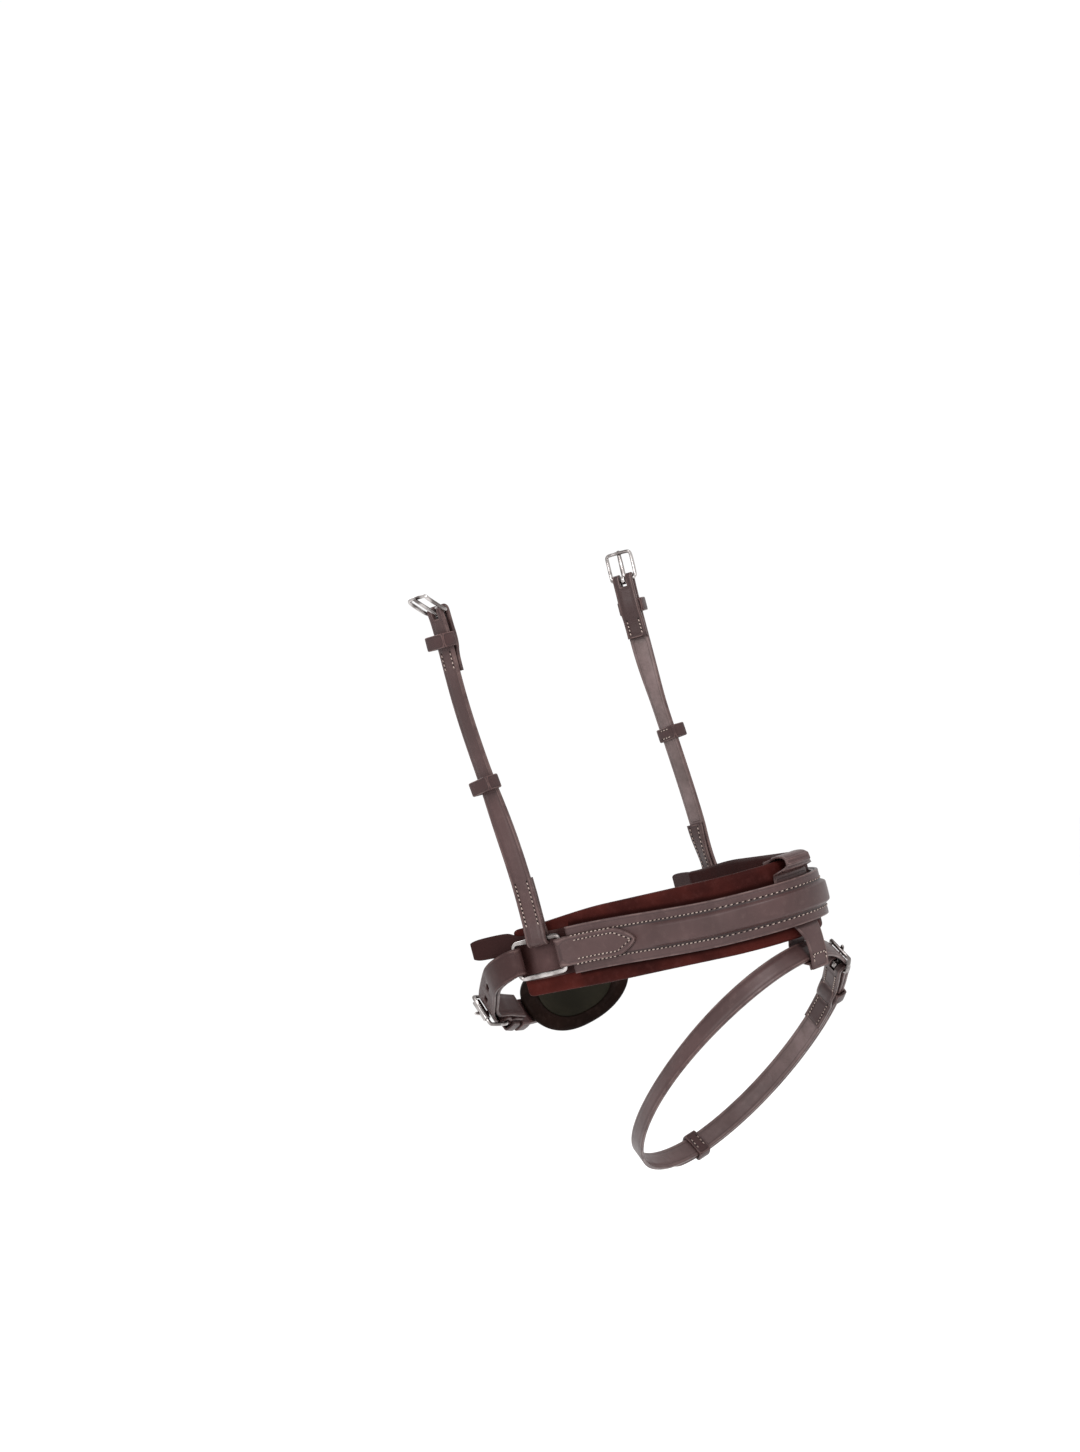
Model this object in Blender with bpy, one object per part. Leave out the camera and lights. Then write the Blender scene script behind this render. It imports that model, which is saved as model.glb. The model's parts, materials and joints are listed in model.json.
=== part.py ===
"""Crank noseband with a flash strap: padded nosepiece, rings, hangers, chin strap, straps and buckles.

Metres. +Z points up the face towards the poll, -Y to the front of the nose, +X to the horse's left.
The origin is the inner face of the nosepiece, at the middle of its front and at half its height.
"""
import math

import bmesh
import bpy
from mathutils import Vector

# Clearances
GAP = 0.0003                      # between leathers that lie on each other
TWIST_GAP = 0.0005                # the same where a strap twists along its layers
PLAY = 0.0003                     # between a bar and what is folded round it
KEEPER_PLAY = 0.0005              # between a strap's edge and its keeper

# Line of the nosepiece, at its inner face
NOSE_RADIUS = 0.036
NOSE_FLARE = math.radians(19.8)   # each arm leans out from straight back
NOSE_ARM = 0.091                  # straight run from the bend to the ring's front bar

# Cushion of the nosepiece
PAD_TOP = 0.0208                  # cushion's top edge above the middle line
PAD_BOTTOM = 0.0228
PAD_END_TOP = 0.0172              # the same edges at the cushion's two ends
PAD_END_BOTTOM = 0.0215
PAD_THICK = 0.0056
PAD_END_THICK = 0.0038
PAD_TAPER = 0.030                 # length over which the cushion thins towards the ring
PAD_TAIL = 0.030                  # cushion behind the ring's front bar
PAD_FLAT = 0.010                  # half height of the flat middle of both faces
FOAM_SHORT = 0.0015               # foam stops this far inside each end of the lining
LINING_THICK = 0.0010
LINING_TURN = 0.0098              # half height at which the turned edge stops

# Leathers of the nosepiece
CARRIER_WIDTH = 0.0162            # at the ring, and of the turned end
CARRIER_INSET = 0.0005            # each side, under the face leather
CARRIER_NARROW = 0.016            # ring bar to where the carrier starts to narrow
CARRIER_THICK = 0.0018
CHAPE_LAP = 0.045                 # ring bar to the point of the turned end
CHAPE_POINT = 0.011
CHAPE_POINT_HALF = 0.0010         # half width left at the very point
CHAPE_FROM = 0.005                # ring bar to where the turned end lies flat
CHAPE_STEP = 0.011
CARRIER_LEAD = 0.0055             # ring bar to where the carrier starts to turn up
FACE_WIDTH_REAR = 0.0265
FACE_WIDTH_FRONT = 0.0254
FACE_THICK = 0.0016
FACE_END = 0.0045                 # face leather stops this far short of the ring bar
RAISE_WIDTH = 0.0130
RAISE_HEIGHT = 0.0021
RAISE_FADE = 0.012                # length over which the raised centre runs out
THIN = 0.0003                     # filler's skived ends
FACE_FALL = 0.0040                # from the filler's end to the flat face leather
FACE_TAIL = 0.015                 # from the filler's end to the next section
FACE_FOOT = 0.0005                # raised centre's foot beyond the filler, each side
FACE_SIDE = 0.0003
GUARD_HALF = 0.0128
GUARD_TAIL_TOP = 0.0168
GUARD_TAIL_BOTTOM = -0.0045       # lower edge is cut away above the chin strap
GUARD_CUT = 0.015                 # length of that cut, behind the ring's rear bar
GUARD_THICK = 0.0013
GUARD_TAIL = 0.0565               # ring's front bar to the guard's rear edge
GUARD_TUCK = 0.0065               # guard reaches this far under the face leather
GUARD_WIDEN_FROM = 0.006          # behind the cushion's end, back to where the guard starts to widen
GUARD_WIDEN = 0.010
GUARD_FORE = 0.010
GUARD_AFT = 0.015
GUARD_ROUND = 0.0015              # corners taken off at the guard's rear edge
GUARD_ROUND_FROM = 0.003

# Rings
RING_WIRE = 0.0015
RING_LENGTH = 0.028
RING_HEIGHT = 0.020
RING_CORNER = 0.0027
RING_LIFT = 0.0097                # front bar's distance from the inner face
RING_SPLAY = math.radians(3.0)

# Hangers
HANGER_WIDTH = 0.012
HANGER_THICK = 0.0022
HANGER_LENGTH = {"right": 0.190, "left": 0.185}
HANGER_BACK = {"right": 0.0115, "left": 0.0078}    # lean to the rear at the top
HANGER_IN = {"right": 0.0, "left": 0.0030}         # lean towards the head
BACK_FROM = 0.020
BACK_TO = 0.150
IN_TO = 0.030
HANGER_SEAT = {"right": 0.445, "left": 0.640}      # share of the ring's top bar ahead of the hanger
HANGER_LAP = 0.034
HANGER_TOP_LAP = 0.035
HANGER_TURNS = {"right": ((0.055, 0.0), (0.100, -25.0)),
                "left": ((0.012, 0.0), (0.036, 18.0), (0.104, 18.0), (0.148, 48.0))}
HANGER_RUNNER_AT = 0.090
HANGER_LOOP_AT = 0.0165           # fixed keeper's middle below the buckle bar
HANGER_ROOM = 0.0052              # room in keeper and runner for the strap from the headpiece
HANGER_FRAME_TILT = {"right": math.radians(52.0), "left": math.radians(4.0)}
HANGER_LEAD = 0.008               # ring bar to the first section above the fold
HANGER_TOP_LEAD = 0.0060          # the same below the buckle bar
HANGER_LAP_STEPS = 9
HANGER_STEPS = 16

# Buckles
WIRE = 0.0011
FRAME_LENGTH = 0.0162
FRAME_CORNER = 0.0020
FRAME_BOW = 0.0028                # rise of the side rails between the two bars
CRANK_BOW = 0.0012
TONGUE_WIDTH = 0.0026
TONGUE_THICK = 0.0014
SLOT_WIDTH = 0.0042
SLOT_LENGTH = 0.0075
SLOT_BACK = 0.0035                # slot's reach behind a heel bar
SLOT_DEEP = 0.014                 # cutter's depth through both layers of a fold
SLOT_OVER = 0.001                 # cutter's reach past the outside of a fold
TONGUE_WRAP = math.radians(255.0)
TONGUE_STEPS = 9
TONGUE_OVER = 0.0006              # tongue's reach past the front bar
TONGUE_DIP = 0.0002

# Keepers
KEEPER_THICK = 0.0015
KEEPER_LENGTH = 0.0080
KEEPER_CORNER = 0.0014
HUMP_EASE = 0.0035                # length over which a lap rises over its keeper
HUMP_AFTER = 0.0016
HUMP_DROP = 0.0004

# Chin strap
CHIN_WIDTH = 0.0165
CHIN_THICK = 0.0022
CHIN_LEAD = 0.0045
CHIN_BEND = 0.021
CHIN_BEND_TURN = math.radians(58.0)
CHIN_FLAT = 0.030
CHIN_CORNER = 0.038
CHIN_CORNER_TURN = math.radians(26.0)
CHIN_DROOP = 0.0375
DROOP_EASE = 1.3
CHIN_TILT = math.radians(27.0)
CHIN_LAP = 0.036
BILLET_THICK = 0.0020
BILLET_TIP = 0.150                # ring bar to the billet's outer tip
CRANK_AT = 0.082                  # ring bar to the crank buckle's heel bar
CRANK_LENGTH = 0.0165
ROLLER_WALL = 0.0009
CRANK_PUNCH_AT = 0.0055           # heel bar to the hole that the tongue goes through
CRANK_LOOP_AT = 0.0930
CRANK_RUNNER_AT = 0.1040
ROLLER_ROOM = 0.0050              # roller is this much shorter than the frame's inner width
CHIN_STEP = 0.0062                # between sections along the strap
CHIN_HEEL_LEAD = 0.0060           # heel bar to the first section past the fold
CHIN_RING_LEAD = 0.010
CHIN_RING_EASE = ((0.0052, 0.45), (0.0022, 0.9))    # distance from the bar, share of the way apart
CHIN_HUMP_EASE = 0.0025
CHIN_HUMP_AFTER = 0.0010
BILLET_INSET = 0.0006             # billet is narrower than the chin strap by this, each side
BILLET_RING_EASE = ((0.011, 0.66), (0.006, 0.85), (0.0024, 0.98))
BILLET_RING_LEAD = 0.015
BILLET_HEEL_LEAD = 0.010
BILLET_OFF_HEEL = ((-0.0040, -0.0008), (0.0, 0.0), (0.0035, -0.0006))    # over the heel: distance, height
BILLET_UNDER_HEEL = ((0.0035, -0.0003), (-0.0020, 0.0))
BILLET_AFTER_HEEL = 0.0066
BILLET_SINK = 0.0002              # inner run lies this much lower than the layers' middle
BILLET_UNDER_ROLLER = 0.0019
BILLET_PAST_ROLLER = 0.004
BILLET_FRONT_LEAD = 0.005
BILLET_HOLES_BACK = 0.0140        # front bar to the first hole ahead of it
BILLET_HOLES_ON = 0.0360          # heel bar to the first hole past it
TIP_LENGTH = 0.009
CHIN_PAD_LENGTH = 0.080
CHIN_PAD_SHIFT = 0.0205           # pad's middle lies this far towards the left ring
CHIN_PAD_HEIGHT = 0.046
CHIN_PAD_THICK = 0.0070
CHIN_PAD_SKIN = 0.0012
CHIN_PAD_RIM = 0.0070
CHIN_PAD_BLUNT = 0.003            # the oval is cut off this far inside its two ends
CHIN_PAD_POWER = 2.4
CHIN_PAD_END_THICK = 0.0040
CHIN_PAD_SECTIONS = 17
CHIN_PAD_CROWN = 0.0006
CHIN_PAD_PROUD = 0.0002

# Flash strap and the tab that carries it
FLASH_WIDTH = 0.012
FLASH_THICK = 0.0020
FLASH_PITCH = math.radians(37.7)
FLASH_LEAN = math.radians(26.0)
FLASH_STEP = 0.0080               # between stations along the strap
FLASH_HALF_WIDTH = {"right": 0.070, "left": 0.064}
FLASH_HALF_LENGTH = 0.086
FLASH_TAB_Y = -0.0039
FLASH_TAB_Z = -0.03075
FLASH_BUCKLE_AT = 0.0545          # tab to the buckle's heel bar
FLASH_LAP = 0.058
FLASH_LOOP_AT = 0.0850
FLASH_RUNNER_AT = 0.2200
FLASH_TAIL = 0.2460
FLASH_PUNCH_AT = 0.0060           # heel bar to the hole that the tongue goes through
FLASH_LEAD = 0.007                # heel bar to the first section past the fold
FLASH_HUMP_EASE = 0.003
FLASH_HUMP_SINK = 0.0006
FLASH_FROM_TAB = 0.004
FLASH_OFF_TAB = 0.010
FLASH_UNDER_FRONT = ((0.0, 0.0005), (-0.004, 0.0007))    # from the front bar: distance, height
FLASH_OFF_HEEL = ((0.004, -0.0008), (0.0, 0.0), (-0.0035, -0.0001))
FLASH_HOLES_BACK = 0.0460
LOOPS_MIDDLE = Vector((0.0, 0.100, -0.050))    # inside both loops, to tell a buckle's outer side
TAB_THICK = 0.0013
TAB_WIDTH_TOP = 0.024
TAB_WIDTH_BOTTOM = 0.014
TAB_SEAM_AT = 0.0088              # seam's distance ahead of the inner face
TAB_END = -0.0409
TAB_EASE_FROM = 0.002             # leathers over the tab come down from here, past its edge
TAB_EASE = 0.022
TAB_NARROW_FROM = -0.022          # height at which the tab starts to widen, and over what height it does
TAB_NARROW = 0.020
TAB_BEND_FROM = -0.026            # height from which the tab follows the bend of the nosepiece
TAB_BEND = 0.010
TAB_CUTS = 3
# Middle line of the tab from its front seam round to the back one: (distance ahead of the inner face, height)
TAB_FRONT = ((0.0103, -0.0330), (0.0103, -0.0250), (0.0094, -0.0200), (0.0078, -0.0165))
TAB_SEAM_TOP = ((0.0, -0.0378), (0.0006, -0.0355))
TAB_FLAT = (-0.0132, 0.0131)
TAB_HUMP = ((0.0015, 0.0147), (0.0052, 0.0156), (0.0072, 0.0180), (0.0068, 0.0207))
TAB_OVER = ((0.0048, 0.0016), (0.0020, 0.0021), (-0.0014, 0.0022), (-0.0044, 0.0018), (-0.0066, 0.0006))
TAB_INSIDE = (-0.0020, 0.010, -0.010, -0.0180)
TAB_BACK = ((-0.0015, -0.0215), (-0.0027, -0.0250), (-0.0029, -0.0285), (-0.0015, -0.0325), (0.0035, -0.0368))
TAB_BACK_SEAM = ((0.0068, -0.0374), (0.0, -0.0382))

# Holes punched in the billets
HOLE_WIDTH = 0.0036
HOLE_LENGTH = 0.0092
HOLE_PITCH = 0.0180
HOLE_COUNT = 4
HOLE_SIDES = 12

EDGE = 0.0004                     # bevel along a leather edge
TIP_HALF = 0.0022                 # half width of a strap's cut tip
FOLD_STEPS = 8
STATION_ROOM = 0.0008             # least distance between two sections of a strap
WIRE_SIDES = 8

SIDES = {"right": -1, "left": 1}

COLOURS = {
    "brown_leather": ((0.105, 0.055, 0.052), 0.45, 0.0),
    "dark_leather": ((0.050, 0.022, 0.020), 0.50, 0.0),
    "red_lining": ((0.085, 0.018, 0.016), 0.55, 0.0),
    "dark_lining": ((0.016, 0.017, 0.014), 0.60, 0.0),
    "foam": ((0.035, 0.033, 0.032), 0.90, 0.0),
    "steel": ((0.62, 0.61, 0.59), 0.22, 1.0),
}


def clear_scene():
    for obj in list(bpy.data.objects):
        bpy.data.objects.remove(obj, do_unlink=True)


def material(name):
    mat = bpy.data.materials.get(name)
    if mat is None:
        colour, roughness, metallic = COLOURS[name]
        mat = bpy.data.materials.new(name)
        mat.use_nodes = True
        shader = mat.node_tree.nodes["Principled BSDF"]
        shader.inputs["Base Color"].default_value = (*colour, 1.0)
        shader.inputs["Roughness"].default_value = roughness
        shader.inputs["Metallic"].default_value = metallic
        mat.diffuse_color = (*colour, 1.0)
    return mat


def smooth(x):
    """Ease from 0 to 1 as x goes from 0 to 1."""
    x = min(1.0, max(0.0, x))
    return x * x * (3.0 - 2.0 * x)


def mix(a, b, x):
    return a + (b - a) * x


def spread(a, b, count):
    """Evenly spaced values from a to b, both ends included."""
    return [mix(a, b, k / (count - 1)) for k in range(count)]


def within(stations, low, high):
    """Stations between low and high, with both of those added, in rising order."""
    run = [low]
    for s in sorted(stations):
        if run[-1] + STATION_ROOM < s < high - STATION_ROOM:
            run.append(s)
    return run + [high]


# Meshes

def add_object(name, bm, finish, sharp=math.radians(50.0)):
    """A new object whose origin is at the world origin until it is placed on its axis."""
    bmesh.ops.recalc_face_normals(bm, faces=bm.faces)
    mesh = bpy.data.meshes.new(name)
    bm.to_mesh(mesh)
    bm.free()
    mesh.shade_smooth()
    mesh.set_sharp_from_angle(angle=sharp)
    obj = bpy.data.objects.new(name, mesh)
    bpy.context.scene.collection.objects.link(obj)
    if finish:
        mesh.materials.append(material(finish))
    return obj


def loft(name, rings, finish, closed=False):
    """Join rings of points, all with the same count, into one skin; open ends are capped."""
    bm = bmesh.new()
    rows = [[bm.verts.new(p) for p in ring] for ring in rings]
    count = len(rows[0])
    last = len(rows) if closed else len(rows) - 1
    for i in range(last):
        here, there = rows[i], rows[(i + 1) % len(rows)]
        for j in range(count):
            k = (j + 1) % count
            bm.faces.new((here[j], here[k], there[k], there[j]))
    if not closed:
        bm.faces.new(list(reversed(rows[0])))
        bm.faces.new(rows[-1])
    return add_object(name, bm, finish)


def leather_section(half_width, thick):
    """Cut edge of a strap, as (height, width) points with its corners taken off."""
    t, w, e = thick / 2, half_width, EDGE
    right = [(t, w - e), (t - e, w), (e - t, w), (-t, w - e)]
    return [(t, e - w)] + right + [(-t, e - w), (e - t, -w), (t - e, -w)]


def round_section(radius, sides=WIRE_SIDES):
    turn = 2 * math.pi / sides
    return [(radius * math.cos(turn * (k + 0.5)), radius * math.sin(turn * (k + 0.5))) for k in range(sides)]


def set_origin(obj, point):
    """Move the object's origin to a point on its joint's axis, with the shape left in place."""
    obj.data.transform(obj.matrix_world.Translation(-point))
    obj.location = point


def cut(obj, cutter):
    cutter.hide_render = True
    cutter.display_type = "WIRE"
    modifier = obj.modifiers.new("cut", "BOOLEAN")
    modifier.operation = "DIFFERENCE"
    modifier.solver = "EXACT"
    modifier.object = cutter


# Lines that straps follow

class Course:
    """A line in space with the direction that a strap's width takes at each distance along it."""

    STEP = 0.0004

    def __init__(self, place, width_way, outward):
        self.place = place
        self.width_way = width_way
        self.outward = outward

    def axes(self, s):
        along = (self.place(s + self.STEP) - self.place(s - self.STEP)).normalized()
        across = self.width_way(s)
        across = (across - along * across.dot(along)).normalized()
        return along, along.cross(across) * self.outward, across

    def point(self, s, n=0.0, w=0.0):
        along, out, across = self.axes(s)
        return self.place(s) + out * n + across * w


def walk(start, heading, runs, distance):
    """Point and heading after a distance along runs of (length, left turn); the ends go on straight."""
    x, y, angle = start[0], start[1], heading
    left = distance
    for number, (length, turn) in enumerate(runs):
        part = left if number == len(runs) - 1 and turn == 0.0 else min(left, length)
        if turn == 0.0 or part < 0.0:
            x += part * math.cos(angle)
            y += part * math.sin(angle)
        else:
            radius = length / turn
            after = angle + part / radius
            x += radius * (math.sin(after) - math.sin(angle))
            y -= radius * (math.cos(after) - math.cos(angle))
            angle = after
        left -= part
        if left <= 0.0:
            break
    return x, y, angle


NOSE_TURN = math.pi / 2 - NOSE_FLARE
NOSE_BEND = NOSE_RADIUS * NOSE_TURN
BAR_AT = NOSE_BEND + NOSE_ARM
NOSE_RUNS = [(NOSE_BEND, NOSE_TURN), (NOSE_ARM, 0.0)]


def nose_place(s):
    x, y, _ = walk((0.0, 0.0), 0.0, NOSE_RUNS, abs(s))
    return Vector((math.copysign(x, s), y, 0.0))


def nose_width_way(_):
    return Vector((0.0, 0.0, 1.0))


NOSE = Course(nose_place, nose_width_way, 1)


def pad_thick(s):
    back = (abs(s) - (BAR_AT - PAD_TAPER)) / PAD_TAPER
    return mix(PAD_THICK, PAD_END_THICK, smooth(back))


def pad_reach(s, edge):
    """Distance from the middle line to the cushion's top or bottom edge."""
    back = (abs(s) - (BAR_AT - PAD_TAPER)) / (PAD_TAPER + PAD_TAIL)
    end = PAD_END_TOP if edge == PAD_TOP else PAD_END_BOTTOM
    return mix(edge, end, smooth(back))


def lift(s):
    """Extra height of the outer leathers where the tab strip lies under them."""
    reach = TAB_WIDTH_TOP / 2 + TAB_EASE_FROM
    return (TAB_THICK + GAP) * (1.0 - smooth((abs(s) - reach) / TAB_EASE))


def carrier_height(s):
    return PAD_THICK + GAP + CARRIER_THICK / 2 + lift(s)


CHAPE_HEIGHT = PAD_THICK + 3 * GAP + CARRIER_THICK * 1.5 + FACE_THICK
FOLD_NOSE = RING_WIRE + PLAY + CARRIER_THICK / 2


RAISE_END = BAR_AT - CHAPE_LAP - FACE_FALL - GAP
CARRIER_FROM = BAR_AT - CARRIER_NARROW


def nose_stations(end):
    """Distances from the right end to the left end; every layer of the nosepiece shares them."""
    half = spread(0.0, NOSE_BEND, 8) + spread(NOSE_BEND, RAISE_END - RAISE_FADE, 4)[1:]
    half += [RAISE_END - RAISE_FADE / 2, RAISE_END, RAISE_END + FACE_FALL, RAISE_END + FACE_TAIL]
    half += [CARRIER_FROM + CARRIER_NARROW * share for share in (0.0, 0.3, 0.6)]
    half += [BAR_AT, BAR_AT + PAD_TAIL / 2]
    half = within(half, 0.0, end)
    return [-s for s in reversed(half[1:])] + half


# Rings: front bar, rear bar and the way back from one to the other

def ring_front(side):
    return NOSE.point(SIDES[side] * BAR_AT, RING_LIFT)


def ring_way(side):
    lean = NOSE_FLARE + RING_SPLAY
    return Vector((SIDES[side] * math.sin(lean), math.cos(lean), 0.0))


def ring_out(side):
    lean = NOSE_FLARE + RING_SPLAY
    return Vector((SIDES[side] * math.cos(lean), -math.sin(lean), 0.0))


def ring_rear(side):
    return ring_front(side) + ring_way(side) * RING_LENGTH


def rounded_rectangle(length, height, corner, steps=3):
    """Closed outline from (0, -height/2) round to the far bar and back, as (along, across) points."""
    pts = []
    centres = [(length - corner, -1, -90), (length - corner, 1, 0), (corner, 1, 90), (corner, -1, 180)]
    for a, sign, first in centres:
        for k in range(steps + 1):
            angle = math.radians(first + 90.0 * k / steps)
            middle = sign * (height / 2 - corner)
            pts.append((a + corner * math.cos(angle), middle + corner * math.sin(angle)))
    return pts


def wire_loop(name, origin, along, across, out, outline, bow, length, radius, finish):
    """Round wire bent to a closed outline; the side rails rise by bow between the two bars."""
    centres = []
    for a, w in outline:
        rise = bow * math.sin(math.pi * min(1.0, max(0.0, a / length)))
        centres.append(origin + along * a + across * w + out * rise)
    rings = []
    count = len(centres)
    for i, centre in enumerate(centres):
        way = (centres[(i + 1) % count] - centres[i - 1]).normalized()
        side_way = out - way * out.dot(way)
        side_way.normalize()
        other = way.cross(side_way)
        rings.append([centre + side_way * a + other * b for a, b in round_section(radius)])
    return loft(name, rings, finish, closed=True)


# Straps

def swept(name, centres, acrosses, sections, finish):
    """Carry (height, width) sections along centres whose width directions are given."""
    rings = []
    last = len(centres) - 1
    for i, centre in enumerate(centres):
        before, after = centres[max(0, i - 1)], centres[min(last, i + 1)]
        way = (after - before).normalized()
        across = acrosses[i] - way * acrosses[i].dot(way)
        across.normalize()
        up = way.cross(across)
        rings.append([centre + up * n + across * w for n, w in sections[i]])
    return loft(name, rings, finish)


def strap(name, course, profile, thick, finish):
    """Leather laid along (distance, height, half width) points of a course."""
    centres = [course.point(s, n) for s, n, _ in profile]
    acrosses = [course.axes(s)[2] for s, _, _ in profile]
    sections = [leather_section(half, thick) for _, _, half in profile]
    return swept(name, centres, acrosses, sections, finish)


def fold(bar_s, bar_n, radius, way, top):
    """Half turn round a bar. way is the sign of travel on arrival, top the side that it arrives on."""
    pts = []
    for k in range(FOLD_STEPS + 1):
        angle = math.pi * (0.5 - k / FOLD_STEPS)
        pts.append((bar_s + way * radius * math.cos(angle), bar_n + top * radius * math.sin(angle)))
    return pts


def widths(points, half):
    return [(s, n, half) for s, n in points]


def tip(s, n, half, way, length, end_half=TIP_HALF, steps=3):
    """Tapered end of a strap that stops at distance s, travelling in direction way."""
    pts = []
    for k in range(steps + 1):
        back = length * (1.0 - k / steps)
        pts.append((s - way * back, n, mix(end_half, half, (back / length) ** 0.7)))
    return pts


def band(name, centre, along, out, across, low, high, half, length, finish):
    """Keeper: a closed band of leather round a strap, from low to high above the centre."""
    t = KEEPER_THICK / 2
    corner = KEEPER_CORNER
    a0, a1 = low - t, high + t
    w = half + t
    steps = 2
    path = []
    for a, b, first in ((a1, w, 0), (a0, w, 90), (a0, -w, 180), (a1, -w, 270)):
        for k in range(steps + 1):
            angle = math.radians(first + 90.0 * k / steps)
            ca = a - math.copysign(corner, a - (a0 + a1) / 2)
            cb = b - math.copysign(corner, b)
            path.append((ca + corner * math.cos(angle), cb + corner * math.sin(angle)))
    rings = []
    count = len(path)
    e = EDGE
    half_length = length / 2
    section = [(t, e - half_length), (t, half_length - e), (t - e, half_length), (-t, half_length),
               (-t, -half_length), (t - e, -half_length)]
    for i, (a, b) in enumerate(path):
        pa, pb = path[i - 1]
        na, nb = path[(i + 1) % count]
        ta, tb = na - pa, nb - pb
        size = math.hypot(ta, tb)
        face = out * (tb / size) - across * (ta / size)
        middle = centre + out * a + across * b
        rings.append([middle + face * n + along * s for n, s in section])
    set_origin(loft(name, rings, finish, closed=True), centre)


def box_cutter(name, centre, along, out, across, sizes):
    """Plain block for a slot; sizes are (along, out, across)."""
    bm = bmesh.new()
    bmesh.ops.create_cube(bm, size=1.0)
    for vert in bm.verts:
        x, y, z = vert.co
        vert.co = centre + along * x * sizes[0] + out * y * sizes[1] + across * z * sizes[2]
    return add_object(name, bm, None)


def slot_cutter(name, heel, along, out, across, radius):
    """Slot for a tongue in a fold round a heel bar, kept clear of the strap that passes over the fold."""
    steps = 6
    outline = [(-SLOT_BACK, radius)]
    for k in range(steps + 1):
        angle = math.pi * (0.5 - k / steps)
        outline.append((radius * math.cos(angle), radius * math.sin(angle)))
    outline.append((-SLOT_BACK, -radius))
    rings = []
    for w in (-SLOT_WIDTH / 2, SLOT_WIDTH / 2):
        rings.append([heel + along * a + out * n + across * w for a, n in outline])
    return loft(name, rings, None)


def hole_cutters(name, course, places):
    """Oval punches through a strap, in one object: places are (distance, height, reach)."""
    bm = bmesh.new()
    straight = (HOLE_LENGTH - HOLE_WIDTH) / 2
    for s, n, reach in places:
        along, out, across = course.axes(s)
        centre = course.point(s, n)
        rows = []
        for level in (-reach, reach):
            row = []
            for k in range(HOLE_SIDES):
                angle = 2 * math.pi * (k + 0.5) / HOLE_SIDES
                reach_along = HOLE_WIDTH / 2 * math.cos(angle) + math.copysign(straight, math.cos(angle))
                reach_across = HOLE_WIDTH / 2 * math.sin(angle)
                place = centre + out * level + along * reach_along + across * reach_across
                row.append(bm.verts.new(place))
            rows.append(row)
        for k in range(HOLE_SIDES):
            m = (k + 1) % HOLE_SIDES
            bm.faces.new((rows[0][k], rows[0][m], rows[1][m], rows[1][k]))
        bm.faces.new(list(reversed(rows[0])))
        bm.faces.new(rows[1])
    return add_object(name, bm, None)


# Buckles

def buckle(prefix, heel, along, out, across, inner_width, length, bow=FRAME_BOW, roller=False):
    """Frame hung on its heel bar and a tongue bent round that bar, resting on the front bar."""
    outline = rounded_rectangle(length, inner_width + 2 * WIRE, FRAME_CORNER)
    frame = wire_loop(prefix + "_frame", heel, along, across, out, outline, bow, length, WIRE, "steel")
    set_origin(frame, heel)
    front_radius = WIRE
    if roller:
        front_radius = WIRE + PLAY + ROLLER_WALL
        front = heel + along * length
        width = inner_width - ROLLER_ROOM
        roll = tube(prefix + "_roller", front, across, out, WIRE + PLAY, front_radius, width)
        set_origin(roll, front)
    tongue(prefix + "_tongue", heel, along, out, across, length, front_radius)


def buckle_between(prefix, heel, front, across, inner_width, bow=FRAME_BOW, roller=False):
    """Buckle whose front bar rests at a given point of the strap."""
    reach = front - heel
    along = reach.normalized()
    across = (across - along * across.dot(along)).normalized()
    out = along.cross(across)
    if out.dot(LOOPS_MIDDLE - heel) > 0.0:
        out = -out
    buckle(prefix, heel, along, out, across, inner_width, reach.length, bow, roller)


def tube(name, centre, axis, out, inner, outer, length):
    """Short open tube round an axis."""
    side_way = axis.cross(out)
    sides = 10
    grow = 1.0 / math.cos(math.pi / sides)
    rings = []
    section = [(inner * grow, -1), (outer, -1), (outer, 1), (inner * grow, 1)]
    for k in range(sides):
        angle = 2 * math.pi * k / sides
        radial = out * math.cos(angle) + side_way * math.sin(angle)
        rings.append([centre + radial * r + axis * (end * length / 2) for r, end in section])
    return loft(name, rings, "steel", closed=True)


def tongue(name, heel, along, out, across, length, front_radius):
    radius = WIRE + PLAY + TONGUE_THICK / 2
    path = []
    for k in range(TONGUE_STEPS + 1):
        angle = math.pi / 2 + TONGUE_WRAP * (1.0 - k / TONGUE_STEPS)
        path.append((radius * math.cos(angle), radius * math.sin(angle)))
    rest = front_radius + PLAY + TONGUE_THICK / 2
    reach = length + front_radius + TONGUE_OVER
    middle = length * 0.45
    path += [(middle, mix(radius, rest, 0.45)), (length, rest), (reach, rest - TONGUE_DIP)]
    centres = [heel + along * a + out * n for a, n in path]
    half = TONGUE_WIDTH / 2
    sections = [leather_section(half, TONGUE_THICK) for _ in path]
    sections[-1] = leather_section(half * 0.6, TONGUE_THICK)
    obj = swept(name, centres, [across] * len(centres), sections, "steel")
    set_origin(obj, heel)


# Nosepiece

def nose_sweep(name, stations, section_at, finish):
    """Section points (height, width) given by a function of the distance along the nosepiece."""
    rings = []
    for s in stations:
        _, out, across = NOSE.axes(s)
        base = NOSE.place(s)
        rings.append([base + out * n + across * w for n, w in section_at(s)])
    return loft(name, rings, finish)


def cushion_line(half, thick, inset, turn=None):
    """Half outline of the cushion, from its outer face over the top edge to the flat inner face."""
    top = half - inset
    low, high = inset, thick - inset
    middle = (low + high) / 2
    depth = (high - low) / 2
    pts = [(high, turn if turn is not None else PAD_FLAT)]
    pts.append((high, top - depth * 1.1))
    for degrees in (65, 35, 0, -35, -65):
        angle = math.radians(degrees)
        pts.append((middle + depth * math.sin(angle), top - depth * 0.9 + depth * 0.9 * math.cos(angle)))
    pts.append((low, top - depth * 1.6))
    pts.append((low, PAD_FLAT))
    return pts


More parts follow.
